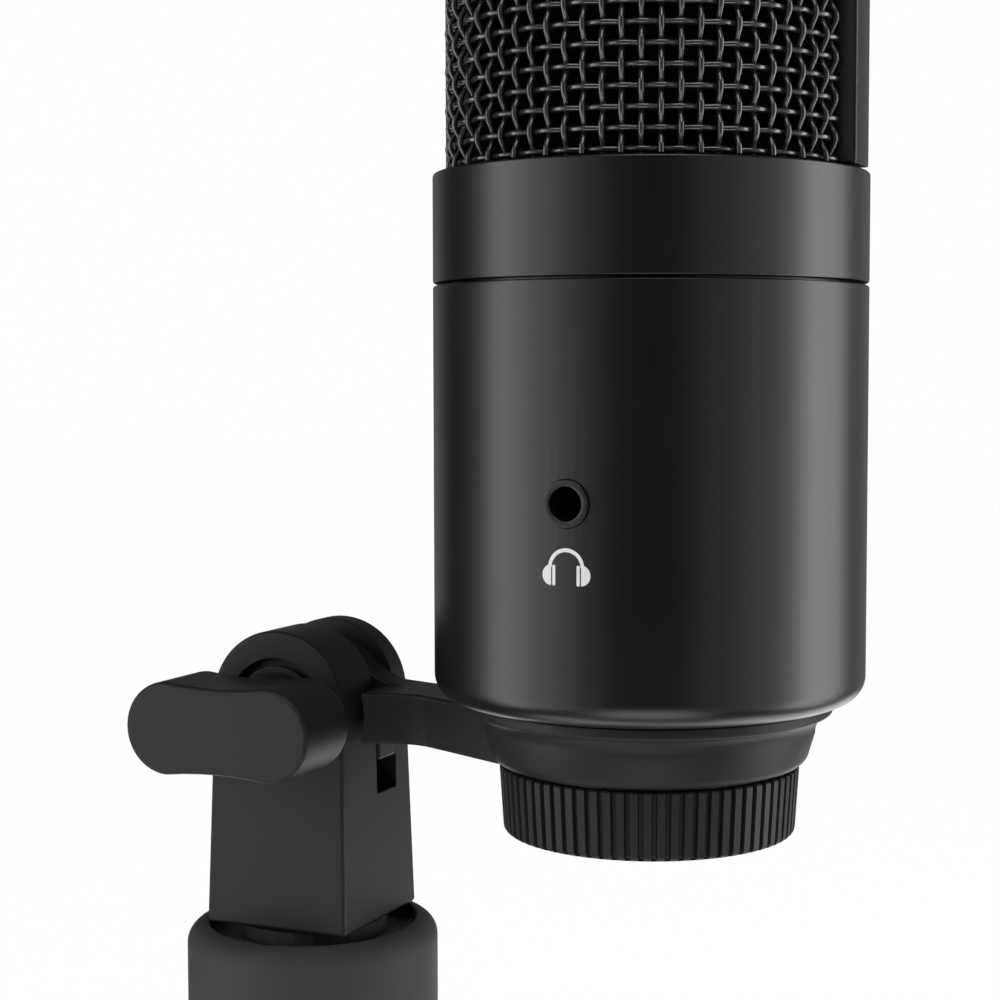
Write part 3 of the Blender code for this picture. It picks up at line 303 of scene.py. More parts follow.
# %% Black finishes
def black_finish(
    name, color, rubbed, roughness, spread, grain_scale, bump, patch_scale=60.0, wear=0.3, shine=0.5
):
    """A coated surface: grain for bump and gloss, edge rub for colour."""
    made = bpy.data.materials.new(name)
    made.use_nodes = True
    tree = made.node_tree
    shader = tree.nodes["Principled BSDF"]
    shader.inputs["Specular IOR Level"].default_value = shine
    grained = tree.nodes.new("ShaderNodeGroup")
    grained.node_tree = grain
    grained.inputs["Color"].default_value = (*color, 1)
    grained.inputs["Rubbed Color"].default_value = (*[1.5 * c for c in color], 1)
    grained.inputs["Roughness"].default_value = roughness
    grained.inputs["Roughness Spread"].default_value = spread
    grained.inputs["Grain Scale"].default_value = grain_scale
    grained.inputs["Patch Scale"].default_value = patch_scale
    rubbed_edges = tree.nodes.new("ShaderNodeGroup")
    rubbed_edges.node_tree = rub
    rubbed_edges.inputs["Rubbed Color"].default_value = (*rubbed, 1)
    rubbed_edges.inputs["Amount"].default_value = wear
    relief = tree.nodes.new("ShaderNodeBump")
    relief.inputs["Strength"].default_value = bump
    relief.inputs["Distance"].default_value = 0.0001
    tree.links.new(grained.outputs["Color"], rubbed_edges.inputs["Color"])
    tree.links.new(rubbed_edges.outputs["Color"], shader.inputs["Base Color"])
    tree.links.new(grained.outputs["Roughness"], shader.inputs["Roughness"])
    tree.links.new(grained.outputs["Height"], relief.inputs["Height"])
    tree.links.new(relief.outputs["Normal"], shader.inputs["Normal"])
    return made


paint = black_finish(
    "satin_black_paint", (0.0022, 0.0022, 0.0023), (0.03, 0.03, 0.031), 0.34, 0.03, 5000, 0.04
)
plastic = black_finish(
    "moulded_black_plastic", (0.012, 0.012, 0.0122), (0.04, 0.04, 0.04), 0.5, 0.06, 3500, 0.2, shine=0.22
)
coated = black_finish(
    "black_coated_metal", (0.04, 0.04, 0.0405), (0.07, 0.07, 0.07), 0.6, 0.06, 4000, 0.12, shine=0.08
)
wire_coat = black_finish(
    "black_wire_coat", (0.009, 0.009, 0.0092), (0.05, 0.05, 0.05), 0.27, 0.06, 2500, 0.06, 250.0, shine=1.0
)
rubber = black_finish("black_rubber", (0.012, 0.012, 0.012), (0.03, 0.03, 0.03), 0.85, 0.1, 2500, 0.3, 120.0)
foam = black_finish(
    "black_foam", (0.0015, 0.0015, 0.0015), (0.003, 0.003, 0.003), 0.95, 0.04, 1600, 0.9, 400.0, 0.0, 0.0
)
# A near-black, dull copy of the paint for the hoops: painted shade for the dark inside of the head behind
# the weave.
hoop_painted_shade = black_finish(
    "painted_shade_black", (0.0015, 0.0015, 0.0015), (0.003, 0.003, 0.003), 0.9, 0.04, 3000, 0.1,
    wear=0.0, shine=0.02,
)
print("finishes:", [m.name for m in (paint, plastic, coated, wire_coat, rubber, foam, hoop_painted_shade)])

# %% [markdown]
# The bare metal parts are small: pins, washers, screws and the shell of the USB socket.
# A noise stretched along one direction gives them the fine lines of turned or drawn metal.

# %% Bare metal
def bare_metal(name, color, roughness, stretch):
    made = bpy.data.materials.new(name)
    made.use_nodes = True
    tree = made.node_tree
    shader = tree.nodes["Principled BSDF"]
    shader.inputs["Metallic"].default_value = 1.0
    place = tree.nodes.new("ShaderNodeTexCoord")
    drawn = tree.nodes.new("ShaderNodeMapping")
    drawn.inputs["Scale"].default_value = stretch
    lines = tree.nodes.new("ShaderNodeTexNoise")
    lines.inputs["Scale"].default_value = 900.0
    lines.inputs["Detail"].default_value = 4.0
    factor, first, second, tint = color_mix(tree)
    first.default_value = (*color, 1)
    second.default_value = (*[0.7 * c for c in color], 1)
    gloss = tree.nodes.new("ShaderNodeMapRange")
    gloss.inputs["To Min"].default_value = roughness - 0.08
    gloss.inputs["To Max"].default_value = roughness + 0.12
    tree.links.new(place.outputs["Object"], drawn.inputs["Vector"])
    tree.links.new(drawn.outputs["Vector"], lines.inputs["Vector"])
    tree.links.new(lines.outputs["Fac"], factor)
    tree.links.new(tint, shader.inputs["Base Color"])
    tree.links.new(lines.outputs["Fac"], gloss.inputs["Value"])
    tree.links.new(gloss.outputs["Result"], shader.inputs["Roughness"])
    return made


steel = bare_metal("plain_steel", (0.52, 0.52, 0.53), 0.34, (1, 1, 6))
gilt = bare_metal("gold_film", (0.78, 0.56, 0.2), 0.28, (1, 4, 1))
print("metals:", steel.name, gilt.name)

# %% [markdown]
# Most of this object is turned on a lathe: an outline is spun round an axis and its edges are
# then softened.
# These helpers do the three steps that each piece repeats: spin an outline, bevel the edges
# that a test picks,
# and close the result into an object that rides on a body of the frame.
# Flat faces next to a bevel are kept flat by weighting the normals by area.

# %% Helpers for turned pieces
def spun(outline, steps=128):
    """Spins (radius, height) points, in millimetres, round Z. Off the axis, the outline is closed."""
    bm = bmesh.new()
    verts = [bm.verts.new((radius * MM, 0, height * MM)) for radius, height in outline]
    edges = [bm.edges.new(pair) for pair in zip(verts, verts[1:])]
    if outline[0][0] > 0 or outline[-1][0] > 0:
        edges.append(bm.edges.new((verts[-1], verts[0])))
    bmesh.ops.spin(bm, geom=verts + edges, cent=(0, 0, 0), axis=(0, 0, 1), angle=2 * pi, steps=steps,
                   use_merge=True)
    bmesh.ops.remove_doubles(bm, verts=bm.verts, dist=1e-7)
    bmesh.ops.recalc_face_normals(bm, faces=bm.faces)
    return bm


def soften(bm, width, segments, test=None, turn=25):
    """Bevels the edges that turn by more than an angle and whose two ends pass a test, in millimetres."""
    bm.normal_update()
    picked = []
    for edge in bm.edges:
        if len(edge.link_faces) == 2 and edge.calc_face_angle(0) > radians(turn):
            if test is None or all(test(v.co / MM) for v in edge.verts):
                picked.append(edge)
    bmesh.ops.bevel(bm, geom=picked, offset=width * MM, offset_type="OFFSET", affect="EDGES",
                    segments=segments, profile=0.5, material=-1, clamp_overlap=True)
    return bm


def on_ring(radius, height, slack=0.02):
    """A test for points on one circle of a turned piece."""
    return lambda p: abs(hypot(p.x, p.y) - radius) < slack and abs(p.z - height) < slack


def move(bm, vector):
    bmesh.ops.translate(bm, vec=vector, verts=bm.verts)
    return bm


def close_piece(name, bm, finish, body, stands_for=(), smooth=40):
    """Makes the piece's object at the origin, with its place in its mesh."""
    bmesh.ops.remove_doubles(bm, verts=bm.verts, dist=1e-7)
    bmesh.ops.recalc_face_normals(bm, faces=bm.faces)
    mesh = bpy.data.meshes.new(name)
    bm.to_mesh(mesh)
    bm.free()
    mesh.shade_smooth()
    mesh.set_sharp_from_angle(angle=radians(smooth))
    mesh.materials.append(finish)
    piece = bpy.data.objects.new(name, mesh)
    bpy.context.scene.collection.objects.link(piece)
    even = piece.modifiers.new("even_normals", "WEIGHTED_NORMAL")
    even.keep_sharp = True
    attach(piece, body)
    if stands_for:
        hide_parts(*stands_for)
    print("made", name, "with", len(mesh.polygons), "faces")
    return piece


ON_MIC = Vector((mic_axis.x, 0, body_low.z))

# %% [markdown]
# Holes and joined shapes need one solid cut out of another, or added to it.
# A Boolean modifier on a short-lived object does that, and its result goes back into a bmesh,
# so that the new edges can be softened like any others.

# %% Helpers for cut pieces
def short_lived(bm):
    bmesh.ops.remove_doubles(bm, verts=bm.verts, dist=1e-7)
    bmesh.ops.recalc_face_normals(bm, faces=bm.faces)
    mesh = bpy.data.meshes.new("carving")
    bm.to_mesh(mesh)
    bm.free()
    carving = bpy.data.objects.new("carving", mesh)
    bpy.context.scene.collection.objects.link(carving)
    return carving


def carve(bm, tools, operation="DIFFERENCE"):
    """Cuts the tools out of a shape, or joins them to it, and gives the result back as a bmesh."""
    work = short_lived(bm)
    others = [short_lived(tool) for tool in tools]
    for other in others:
        step = work.modifiers.new("carve", "BOOLEAN")
        step.object = other
        step.operation = operation
        step.solver = "EXACT"
    done = work.evaluated_get(bpy.context.evaluated_depsgraph_get())
    result = bmesh.new()
    result.from_mesh(done.to_mesh())
    done.to_mesh_clear()
    for thing in [work] + others:
        mesh = thing.data
        bpy.data.objects.remove(thing)
        bpy.data.meshes.remove(mesh)
    bmesh.ops.remove_doubles(result, verts=result.verts, dist=1e-7)
    bmesh.ops.dissolve_degenerate(result, edges=result.edges, dist=1e-7)
    return result


def rod(radius, low, high, way="Z", at=(0, 0, 0), steps=64):
    """A round tool, in millimetres, from low to high along Z or Y."""
    bm = bmesh.new()
    bmesh.ops.create_cone(bm, cap_ends=True, segments=steps, radius1=radius * MM, radius2=radius * MM,
                          depth=(high - low) * MM)
    bmesh.ops.translate(bm, vec=(0, 0, (low + high) / 2 * MM), verts=bm.verts)
    if way == "Y":
        bmesh.ops.rotate(bm, cent=(0, 0, 0), matrix=Matrix.Rotation(-pi / 2, 3, "X"), verts=bm.verts)
    return move(bm, [c * MM for c in at])


# %% [markdown]
# The body is a drawn metal cup, 50 mm across, with a soft round at its bottom edge.
# It is spun from an outline, its bottom and top edges are bevelled, and the jack's hole
# and the hole of the gain control's bushing are cut through the wall.

# %% Body shell
BODY_R = (body_high.x - body_low.x) / 2 / MM
BODY_TALL = (body_high.z - body_low.z) / MM
JACK_RISE = 23.9
shell_outline = [(11.3, 0), (BODY_R, 0), (BODY_R, BODY_TALL), (23.5, BODY_TALL)]
shell_outline += [(23.5, 2.9), (22.1, 2), (11.3, 2)]
shell = spun(shell_outline, 160)
soften(shell, 2.9, 12, on_ring(BODY_R, 0))
soften(shell, 0.25, 2, on_ring(BODY_R, BODY_TALL))
jack_hole = rod(2.62, -30, -12, "Y", (0, 0, JACK_RISE))
bushing_hole = rod(4.3, 12, 30, "Y", (0, 0, JACK_RISE))
shell = carve(shell, [jack_hole, bushing_hole])
close_piece("body_cup", move(shell, ON_MIC), paint, "microphone", ["body_shell"])

# %% [markdown]
# The head ring sits on the body with a fine dark groove between them, and carries the grille.
# Its top edge has a small round that shows as a thin bright line.

# %% Head ring
RING_LOW = BODY_TALL + 0.3
RING_TOP = (ring_high.z - body_low.z) / MM
LIP = (RING_LOW - 0.95, RING_LOW + 1.05)
ring_outline = [(21.7, RING_LOW - 3), (23.2, RING_LOW - 3), (23.2, RING_LOW), (BODY_R, RING_LOW)]
ring_outline += [(BODY_R, RING_TOP), (21.7, RING_TOP)]
ring_outline += [(21.7, LIP[1]), (16.5, LIP[1]), (16.5, LIP[0]), (21.7, LIP[0])]
ring = spun(ring_outline, 160)
soften(ring, 0.25, 2, on_ring(BODY_R, RING_LOW))
soften(ring, 0.3, 3, on_ring(BODY_R, RING_TOP))
close_piece("grille_ring", move(ring, ON_MIC), paint, "microphone", ["head_ring"])

# %% [markdown]
# The headphone jack shows as a round bezel that stands a little proud of the body, round a 3.6 mm hole.
# The bezel and its deep bore are spun, turned to face the jack's side and joined to the plain case inside.

# %% Headphone jack
PROUD = 0.3
bezel_outline = [(0, 13), (1.8, 13), (1.8, BODY_R + PROUD), (2.56, BODY_R + PROUD)]
bezel_outline += [(2.56, 14.5), (1.8, 12), (0, 12)]
bezel = spun(bezel_outline, 64)
soften(bezel, 0.12, 3, lambda p: p.z > BODY_R)
bmesh.ops.rotate(bezel, cent=(0, 0, 0), matrix=Matrix.Rotation(pi / 2, 3, "X"), verts=bezel.verts)
move(bezel, (0, 0, JACK_RISE * MM))
case = bmesh.new()
bmesh.ops.create_cube(case, size=1)
bmesh.ops.scale(case, vec=(9 * MM, 11 * MM, 9 * MM), verts=case.verts)
move(case, (0, -17 * MM, JACK_RISE * MM))
soften(case, 0.4, 2)
case = carve(case, [rod(2.3, -30, -12.2, "Y", (0, 0, JACK_RISE))])
bezel_mesh = bpy.data.meshes.new("bezel")
bezel.to_mesh(bezel_mesh)
bezel.free()
case.from_mesh(bezel_mesh)
close_piece("jack_bezel", move(case, ON_MIC), paint, "microphone", ["headphone_jack"])

# %% [markdown]
# A small white headphone sign is printed under the jack: a band over two ear cups, with a bar
# inside each cup.
# It is drawn flat from a spun strip, two half discs and two round-ended bars, wrapped round the body,
# and given the thickness of a printed layer.

# %% Headphone sign
ink = bpy.data.materials.new("white_print")
ink.use_nodes = True
tree = ink.node_tree
shader = tree.nodes["Principled BSDF"]
shader.inputs["Roughness"].default_value = 0.55
place = tree.nodes.new("ShaderNodeTexCoord")
dots = tree.nodes.new("ShaderNodeTexNoise")
dots.inputs["Scale"].default_value = 6000.0
factor, first, second, tint = color_mix(tree)
first.default_value = (0.86, 0.86, 0.86, 1)
second.default_value = (0.72, 0.72, 0.72, 1)
tree.links.new(place.outputs["Object"], dots.inputs["Vector"])
tree.links.new(dots.outputs["Fac"], factor)
tree.links.new(tint, shader.inputs["Base Color"])

sign = bmesh.new()
strip = [sign.verts.new((1.64, 0, 0)), sign.verts.new((2.04, 0, 0))]
band_edge = sign.edges.new(strip)
bmesh.ops.spin(sign, geom=strip + [band_edge], cent=(0, 0, 0), axis=(0, -1, 0), angle=pi, steps=40)
for side in (-1, 1):
    cup = bmesh.ops.create_circle(sign, cap_ends=True, segments=48, radius=1.1,
                                  matrix=Matrix.Rotation(pi / 2, 4, "X"))["verts"]
    bmesh.ops.scale(sign, vec=(0.93, 1, 1), verts=cup)
    joined = list({part for v in cup for part in [v, *v.link_edges, *v.link_faces]})
    bmesh.ops.bisect_plane(sign, geom=joined, plane_co=(0, 0, 0), plane_no=(-side, 0, 0), clear_outer=True)
    kept = [v for v in sign.verts if v.co.length < 1.2]
    bmesh.ops.translate(sign, vec=(side * 1.7, 0, -0.8 - 4), verts=kept)
    bar = bmesh.ops.create_circle(sign, cap_ends=True, segments=24, radius=0.18,
                                  matrix=Matrix.Rotation(pi / 2, 4, "X"))["verts"]
    bmesh.ops.translate(sign, vec=(0, 0, 1.83), verts=[v for v in bar if v.co.z > 0.0001])
    bmesh.ops.translate(sign, vec=(side * 1.38, 0, -1.75 - 4), verts=bar)
lowered = [v for v in sign.verts if v.co.z < -2.4]
bmesh.ops.translate(sign, vec=(0, 0, 4), verts=lowered)
bmesh.ops.triangulate(sign, faces=sign.faces)
SIGN_RISE = RING_TOP - 42.8
for v in sign.verts:
    around = v.co.x / BODY_R
    reach = BODY_R + 0.02
    v.co = Vector((reach * sin(around), -reach * cos(around), v.co.z + SIGN_RISE)) * MM
bmesh.ops.recalc_face_normals(sign, faces=sign.faces)
bmesh.ops.solidify(sign, geom=sign.faces, thickness=-0.03 * MM)
close_piece("headphone_sign", move(sign, ON_MIC), ink, "microphone")

# %% [markdown]
# The grille is a plain weave of thick black wire bent to a round. The upright wires are crimped the most,
# so they bulge over the level ones, which stay nearly straight.
# A wire is drawn by extruding a small ring of vertices along a wavy path. Neighbours in the weave wave the
# opposite way, so two wires of each kind are enough, and all the others are turned or lifted copies.

# %% One wire
WIRE_R = 0.33
WEAVE_R = 22.84
UPRIGHT_WAVE = 0.43
LEVEL_WAVE = 0.27


def drawn_wire(path):
    """A closed wire along a path of points in millimetres, as a mesh."""
    bm = bmesh.new()
    ring = bmesh.ops.create_circle(bm, cap_ends=True, segments=6, radius=WIRE_R)["verts"]
    before = Matrix.Identity(4)
    edges = list({e for v in ring for e in v.link_edges})
    moving = ring
    for i, point in enumerate(path):
        way = (path[min(i + 1, len(path) - 1)] - path[max(i - 1, 0)]).normalized()
        out = Vector((point.x, point.y, 0)).normalized()
        side = way.cross(out).normalized()
        after = Matrix.Translation(point) @ Matrix((side.cross(way), side, way)).transposed().to_4x4()
        if i:
            grown = bmesh.ops.extrude_edge_only(bm, edges=edges)["geom"]
            moving = [g for g in grown if isinstance(g, bmesh.types.BMVert)]
            fresh = set(moving)
            edges = [g for g in grown if isinstance(g, bmesh.types.BMEdge) and set(g.verts) <= fresh]
        bmesh.ops.transform(bm, matrix=after @ before.inverted(), verts=moving)
        before = after
    bmesh.ops.contextual_create(bm, geom=edges)
    bmesh.ops.scale(bm, vec=(MM, MM, MM), verts=bm.verts)
    bmesh.ops.recalc_face_normals(bm, faces=bm.faces)
    mesh = bpy.data.meshes.new("wire")
    bm.to_mesh(mesh)
    bm.free()
    return mesh


grille_low, grille_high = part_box("rear_grille")
GRILLE_LOW = (grille_low.z - body_low.z) / MM
GRILLE_TOP = (grille_high.z - body_low.z) / MM
ROWS, COLUMNS, STEPS = 29, 32, 5
ROW_PITCH = (GRILLE_TOP - GRILLE_LOW - 0.8) / (ROWS - 1)
COLUMN_PITCH = 2 * pi / 70
upright_wires, level_wires = [], []
for sign_of in (1, -1):
    rises = [GRILLE_LOW + 0.4 + ROW_PITCH * i / STEPS for i in range((ROWS - 1) * STEPS + 1)]
    wave = [WEAVE_R + sign_of * UPRIGHT_WAVE * cos(pi * i / STEPS) for i in range(len(rises))]
    path = [Vector((out, 0, z)) for out, z in zip(wave, rises)]
    path = [Vector((path[0].x, 0, GRILLE_LOW))] + path + [Vector((path[-1].x, 0, GRILLE_TOP))]
    upright_wires.append(drawn_wire(path))
    path = []
    for i in range(-STEPS // 2, (COLUMNS - 1) * STEPS + STEPS // 2 + 2):
        turn = (i / STEPS - (COLUMNS - 1) / 2) * COLUMN_PITCH
        reach = WEAVE_R - sign_of * LEVEL_WAVE * cos(pi * i / STEPS)
        path.append(Vector((reach * cos(turn), reach * sin(turn), 0)))
    level_wires.append(drawn_wire(path))
print("wires:", [len(m.polygons) for m in upright_wires + level_wires], "faces each")

# %% [markdown]
# Each half of the grille is then filled in: upright wires are turned round the axis one by one,
# and level wires are lifted row by row, in alternate order so that every crossing goes over and under.

# %% Woven grilles
def woven_half(name, facing, node):
    bm = bmesh.new()

    def add(mesh, matrix):
        bm.from_mesh(mesh)
        bm.verts.ensure_lookup_table()
        bmesh.ops.transform(bm, matrix=matrix, verts=bm.verts[-len(mesh.vertices):])

    for column in range(COLUMNS):
        turn = facing + (column - (COLUMNS - 1) / 2) * COLUMN_PITCH
        add(upright_wires[column % 2], Matrix.Rotation(turn, 4, "Z"))
    for row in range(ROWS):
        rise = Matrix.Translation((0, 0, (GRILLE_LOW + 0.4 + ROW_PITCH * row) * MM))
        add(level_wires[row % 2], rise @ Matrix.Rotation(facing, 4, "Z"))
    return close_piece(name, move(bm, ON_MIC), wire_coat, "microphone", [node], 80)


woven_half("front_weave", pi / 2, "front_grille")
woven_half("rear_weave", -pi / 2, "rear_grille")

# %% [markdown]
# Two flat bands run up the sides of the head, flush with the body, and hold the grille halves between them.
# Hoops at the top and bottom tie them together inside the weave.
# A spun tube crossed with a flat slab leaves both bands in one step, with curved faces and straight sides.

# %% Side bands and hoops
cap_low, cap_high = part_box("top_cap")
CAP_LOW = (cap_low.z - body_low.z) / MM
CAP_TOP = (cap_high.z - body_low.z) / MM
bands = spun([(21.3, GRILLE_LOW), (BODY_R, GRILLE_LOW), (BODY_R, GRILLE_TOP), (21.3, GRILLE_TOP)], 160)
slab = bmesh.new()
bmesh.ops.create_cube(slab, size=0.4)
bmesh.ops.scale(slab, vec=(1, 5.7 * MM / 0.4, 1), verts=slab.verts)
bands = carve(bands, [slab], "INTERSECT")
soften(bands, 0.25, 3)
# The hoops take the second material, the near-black dull copy of the paint: painted shade for the dark
# inside of the head.
for low, high in ((GRILLE_LOW, GRILLE_LOW + 3), (GRILLE_TOP - 3, CAP_LOW + 3)):
    hoop = spun([(21.2, low), (21.95, low), (21.95, high), (21.2, high)])
    for face in hoop.faces:
        face.material_index = 1
    hoop_mesh = bpy.data.meshes.new("hoop")
    hoop.to_mesh(hoop_mesh)
    hoop.free()
    bands.from_mesh(hoop_mesh)
framing = close_piece("side_bands", move(bands, ON_MIC), paint, "microphone", ["head_frame"])
framing.data.materials.append(hoop_painted_shade)

# %% [markdown]
# The cap closes the head with a large soft round.
# Its lower edge has a steep chamfer, so that the grille ends at a clear line.

# %% Top cap
cap_outline = [(0, CAP_TOP - 3), (22.9, CAP_TOP - 3), (22.9, CAP_LOW), (BODY_R - 0.4, CAP_LOW)]
cap_outline += [(BODY_R, CAP_LOW + 0.8), (BODY_R, CAP_TOP), (0, CAP_TOP)]
cap = spun(cap_outline, 160)
soften(cap, 6, 16, on_ring(BODY_R, CAP_TOP))
soften(cap, 0.1, 2, lambda p: p.z < CAP_LOW + 0.9 and hypot(p.x, p.y) > 24, 10)
close_piece("head_cap", move(cap, ON_MIC), paint, "microphone", ["top_cap"])

# %% [markdown]
# Ribs for the fingers are moulded round the clamp nut and the gain knob.
# A piece spun with four steps to each rib has all the vertices that the ribs need:
# two of every four become a land, and the other two are drawn in to make a groove.

# %% Ribbed edges
def ribbed(bm, ribs, land, floor, depth, test):
    """Draws in two of every four steps of a spun skin; land and floor are shares of a rib's pitch."""
    pitch = 2 * pi / ribs
    places = (-land / 2, land / 2, 0.5 - floor / 2, 0.5 + floor / 2)
    for v in bm.verts:
        if test(v.co / MM):
            step = round(atan2(v.co.y, v.co.x) / pitch * 4) % (4 * ribs)
            turn = (step // 4 + places[step % 4]) * pitch
            reach = hypot(v.co.x, v.co.y) - (depth * MM if step % 4 > 1 else 0)
            v.co.x = reach * cos(turn)
            v.co.y = reach * sin(turn)
    return bm


NUT_TOP, NUT_LOW = -7.9, -15.7
nut_outline = [(11.6, NUT_LOW), (17, NUT_LOW), (17.5, NUT_TOP), (16.3, NUT_TOP)]
nut_outline += [(16.3, NUT_TOP - 1), (11.6, NUT_TOP - 1)]
nut = spun(nut_outline, 4 * 72)
soften(nut, 0.65, 4, on_ring(17, NUT_LOW))
soften(nut, 0.35, 3, on_ring(17.5, NUT_TOP))
soften(nut, 0.4, 2, on_ring(11.6, NUT_LOW))
ribbed(nut, 72, 0.56, 0.26, 0.5, lambda p: hypot(p.x, p.y) > 16.35)
close_piece("ribbed_nut", move(nut, ON_MIC), plastic, "nut", ["clamp_nut"], 30)

# %% [markdown]
# The gain knob is on the far side from the jack. It is spun along Z with ribs round its waist
# and a dished face,
# turned to face the front, and marked with a short white line let into the face.

# %% Gain knob
KNOB_END = 9.8
knob_outline = [(0, 6.8), (3.3, 6.8), (3.3, 0.3), (7.5, 0.3), (8, 0.8)]
knob_outline += [(8, KNOB_END), (6, KNOB_END), (5.6, 9.4), (0, 9.3)]
knob = spun(knob_outline, 4 * 40)
soften(knob, 1.1, 6, on_ring(8, KNOB_END))
soften(knob, 0.15, 2, on_ring(6, KNOB_END))
whole_knob = knob.verts[:] + knob.edges[:] + knob.faces[:]
bmesh.ops.bisect_plane(knob, geom=whole_knob, plane_co=(0, 0, 1.6 * MM), plane_no=(0, 0, 1))
ribbed(knob, 40, 0.5, 0.2, 0.35, lambda p: hypot(p.x, p.y) > 7.99 and p.z > 1.5)
FACE_FRONT = Matrix.Rotation(-pi / 2, 3, "X")
bmesh.ops.rotate(knob, cent=(0, 0, 0), matrix=FACE_FRONT, verts=knob.verts)
AT_KNOB = ON_MIC + Vector((0, BODY_R, JACK_RISE)) * MM
close_piece("ribbed_knob", move(knob, AT_KNOB), plastic, "knob", ["gain_knob"], 30)

mark = bmesh.new()
bmesh.ops.create_cube(mark, size=MM)
bmesh.ops.scale(mark, vec=(0.7, 0.3, 3.2), verts=mark.verts)
bmesh.ops.translate(mark, vec=(0, 9.27 * MM, 3.4 * MM), verts=mark.verts)
soften(mark, 0.1, 2)
close_piece("knob_mark", move(mark, AT_KNOB), ink, "knob", ["gain_knob"])

# %% [markdown]
# The arm, the clevis and the legs are flat mouldings with straight and round edges.
# Their outlines are traced: a straight move extrudes the last vertex and a round one spins it
# about a centre.
# The outline is then filled and extruded to its thickness.

# %% Helpers for flat mouldings
def traced(start, *moves):
    """An X and Z outline in millimetres: (x, z) goes straight, (x, z, degrees) turns about a centre."""
    bm = bmesh.new()
    tip = bm.verts.new((start[0] * MM, 0, start[1] * MM))
    for goal in moves:
        point = Vector((goal[0], 0, goal[1])) * MM
        if len(goal) == 2:
            tip = bmesh.ops.extrude_vert_indiv(bm, verts=[tip])["verts"][0]
            tip.co = point
        else:
            steps = max(6, round(abs(goal[2]) / 5))
            angle = radians(goal[2])
            swept = bmesh.ops.spin(bm, geom=[tip], cent=point, axis=(0, -1, 0), angle=angle, steps=steps)
            tip = next(g for g in swept["geom_last"] if isinstance(g, bmesh.types.BMVert))
    bm.verts.ensure_lookup_table()
    if (tip.co - bm.verts[0].co).length > 1e-5:
        bm.edges.new((tip, bm.verts[0]))
    bmesh.ops.remove_doubles(bm, verts=bm.verts, dist=1e-5)
    bmesh.ops.contextual_create(bm, geom=bm.edges[:])
    return bm


def thick(bm, low, high):
    """Extrudes a filled outline along Y, in millimetres."""
    move(bm, (0, low * MM, 0))
    grown = bmesh.ops.extrude_face_region(bm, geom=bm.faces[:], use_keep_orig=True)["geom"]
    far_side = [g for g in grown if isinstance(g, bmesh.types.BMVert)]
    bmesh.ops.translate(bm, vec=(0, (high - low) * MM, 0), verts=far_side)
    bmesh.ops.recalc_face_normals(bm, faces=bm.faces)
    return bm


block_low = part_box("swivel_block")[0]
PIVOT_RISE = 26.55
ON_PIVOT = Vector((hub_axis.x, 0, block_low.z + PIVOT_RISE * MM))
print("pivot at", [round(c, 4) for c in ON_PIVOT])

# %% [markdown]
# The pivot arm is one moulding: a tongue with a round eye that goes between the ears of the clevis,
# a thick arm, and a collar round the stub of the microphone, with a cove under its top lip.
# The arm is traced as seen from above, with a waist near the clevis and a flare out to the collar,
# and its end by the ears is hollowed round the pivot so that it can tilt. The tongue is traced
# from the front.

# %% Pivot arm
ARM_REACH = (mic_axis.x - hub_axis.x) / MM
ARM_LOW, ARM_TOP = -3.35, 2.85
EAR_ROOM = 10.8
arm = traced(
    (8.8, -6.77), (14.46, -4.94), (16.3, -10.65, -44), (30.96, -11.2), (33.1, -9.5),
    (33.1, 9.5), (30.96, 11.2), (18.94, 5.26), (16.3, 10.65, -44), (8.8, 6.77),
)
thick(arm, ARM_LOW, ARM_TOP)
bmesh.ops.rotate(arm, cent=(0, 0, 0), matrix=Matrix.Rotation(pi / 2, 3, "X"), verts=arm.verts)
soften(arm, 0.5, 4)
arm = carve(arm, [rod(EAR_ROOM, -12, 12, "Y", steps=96)])
soften(arm, 0.3, 2, lambda p: abs(hypot(p.x, p.z) - EAR_ROOM) < 0.02)
heel = ((9.5, -6.6), (9.5, -3.15), (16, -3.15), (16, 2.65))
tongue = traced(*heel, (13.447, ARM_TOP), (13.447, 12.85, -46.3), (0, 0, 266.17))
thick(tongue, 0.3, 4.7)
soften(tongue, 0.4, 3)
cove = [(21.1 - 1.8 * sin(radians(t)), 0.15 + 2.3 * cos(radians(t))) for t in range(10, 91, 10)]
collar_outline = [(11.3, -3.55), (18.2, -3.55), (19.0, -0.85)] + cove[::-1]
collar_outline += [(21.3, 2.65), (21.3, 3.75), (11.3, 3.75)]
collar = spun(collar_outline, 144)
soften(collar, 1.2, 5, on_ring(18.2, -3.55))
soften(collar, 0.2, 2, lambda p: p.z > 2.55 and hypot(p.x, p.y) > 21)
bmesh.ops.translate(collar, vec=(ARM_REACH * MM, 0, 0), verts=collar.verts)
arm = carve(arm, [tongue, collar], "UNION")
arm = carve(arm, [rod(2.8, -3, 8, "Y")])
close_piece("moulded_arm", move(arm, ON_PIVOT), plastic, "arm", ["pivot_arm"], 30)

# %% [markdown]
# The clevis block turns on the hub and holds the eye of the arm between two ears.
# The arch is traced from the front and crossed with a tapered shape traced from the side.
# Then the slot, the well for the handle's stem, the screw hole, the stud hole and the nut's pocket are cut,
# and every edge is softened as on a moulding.

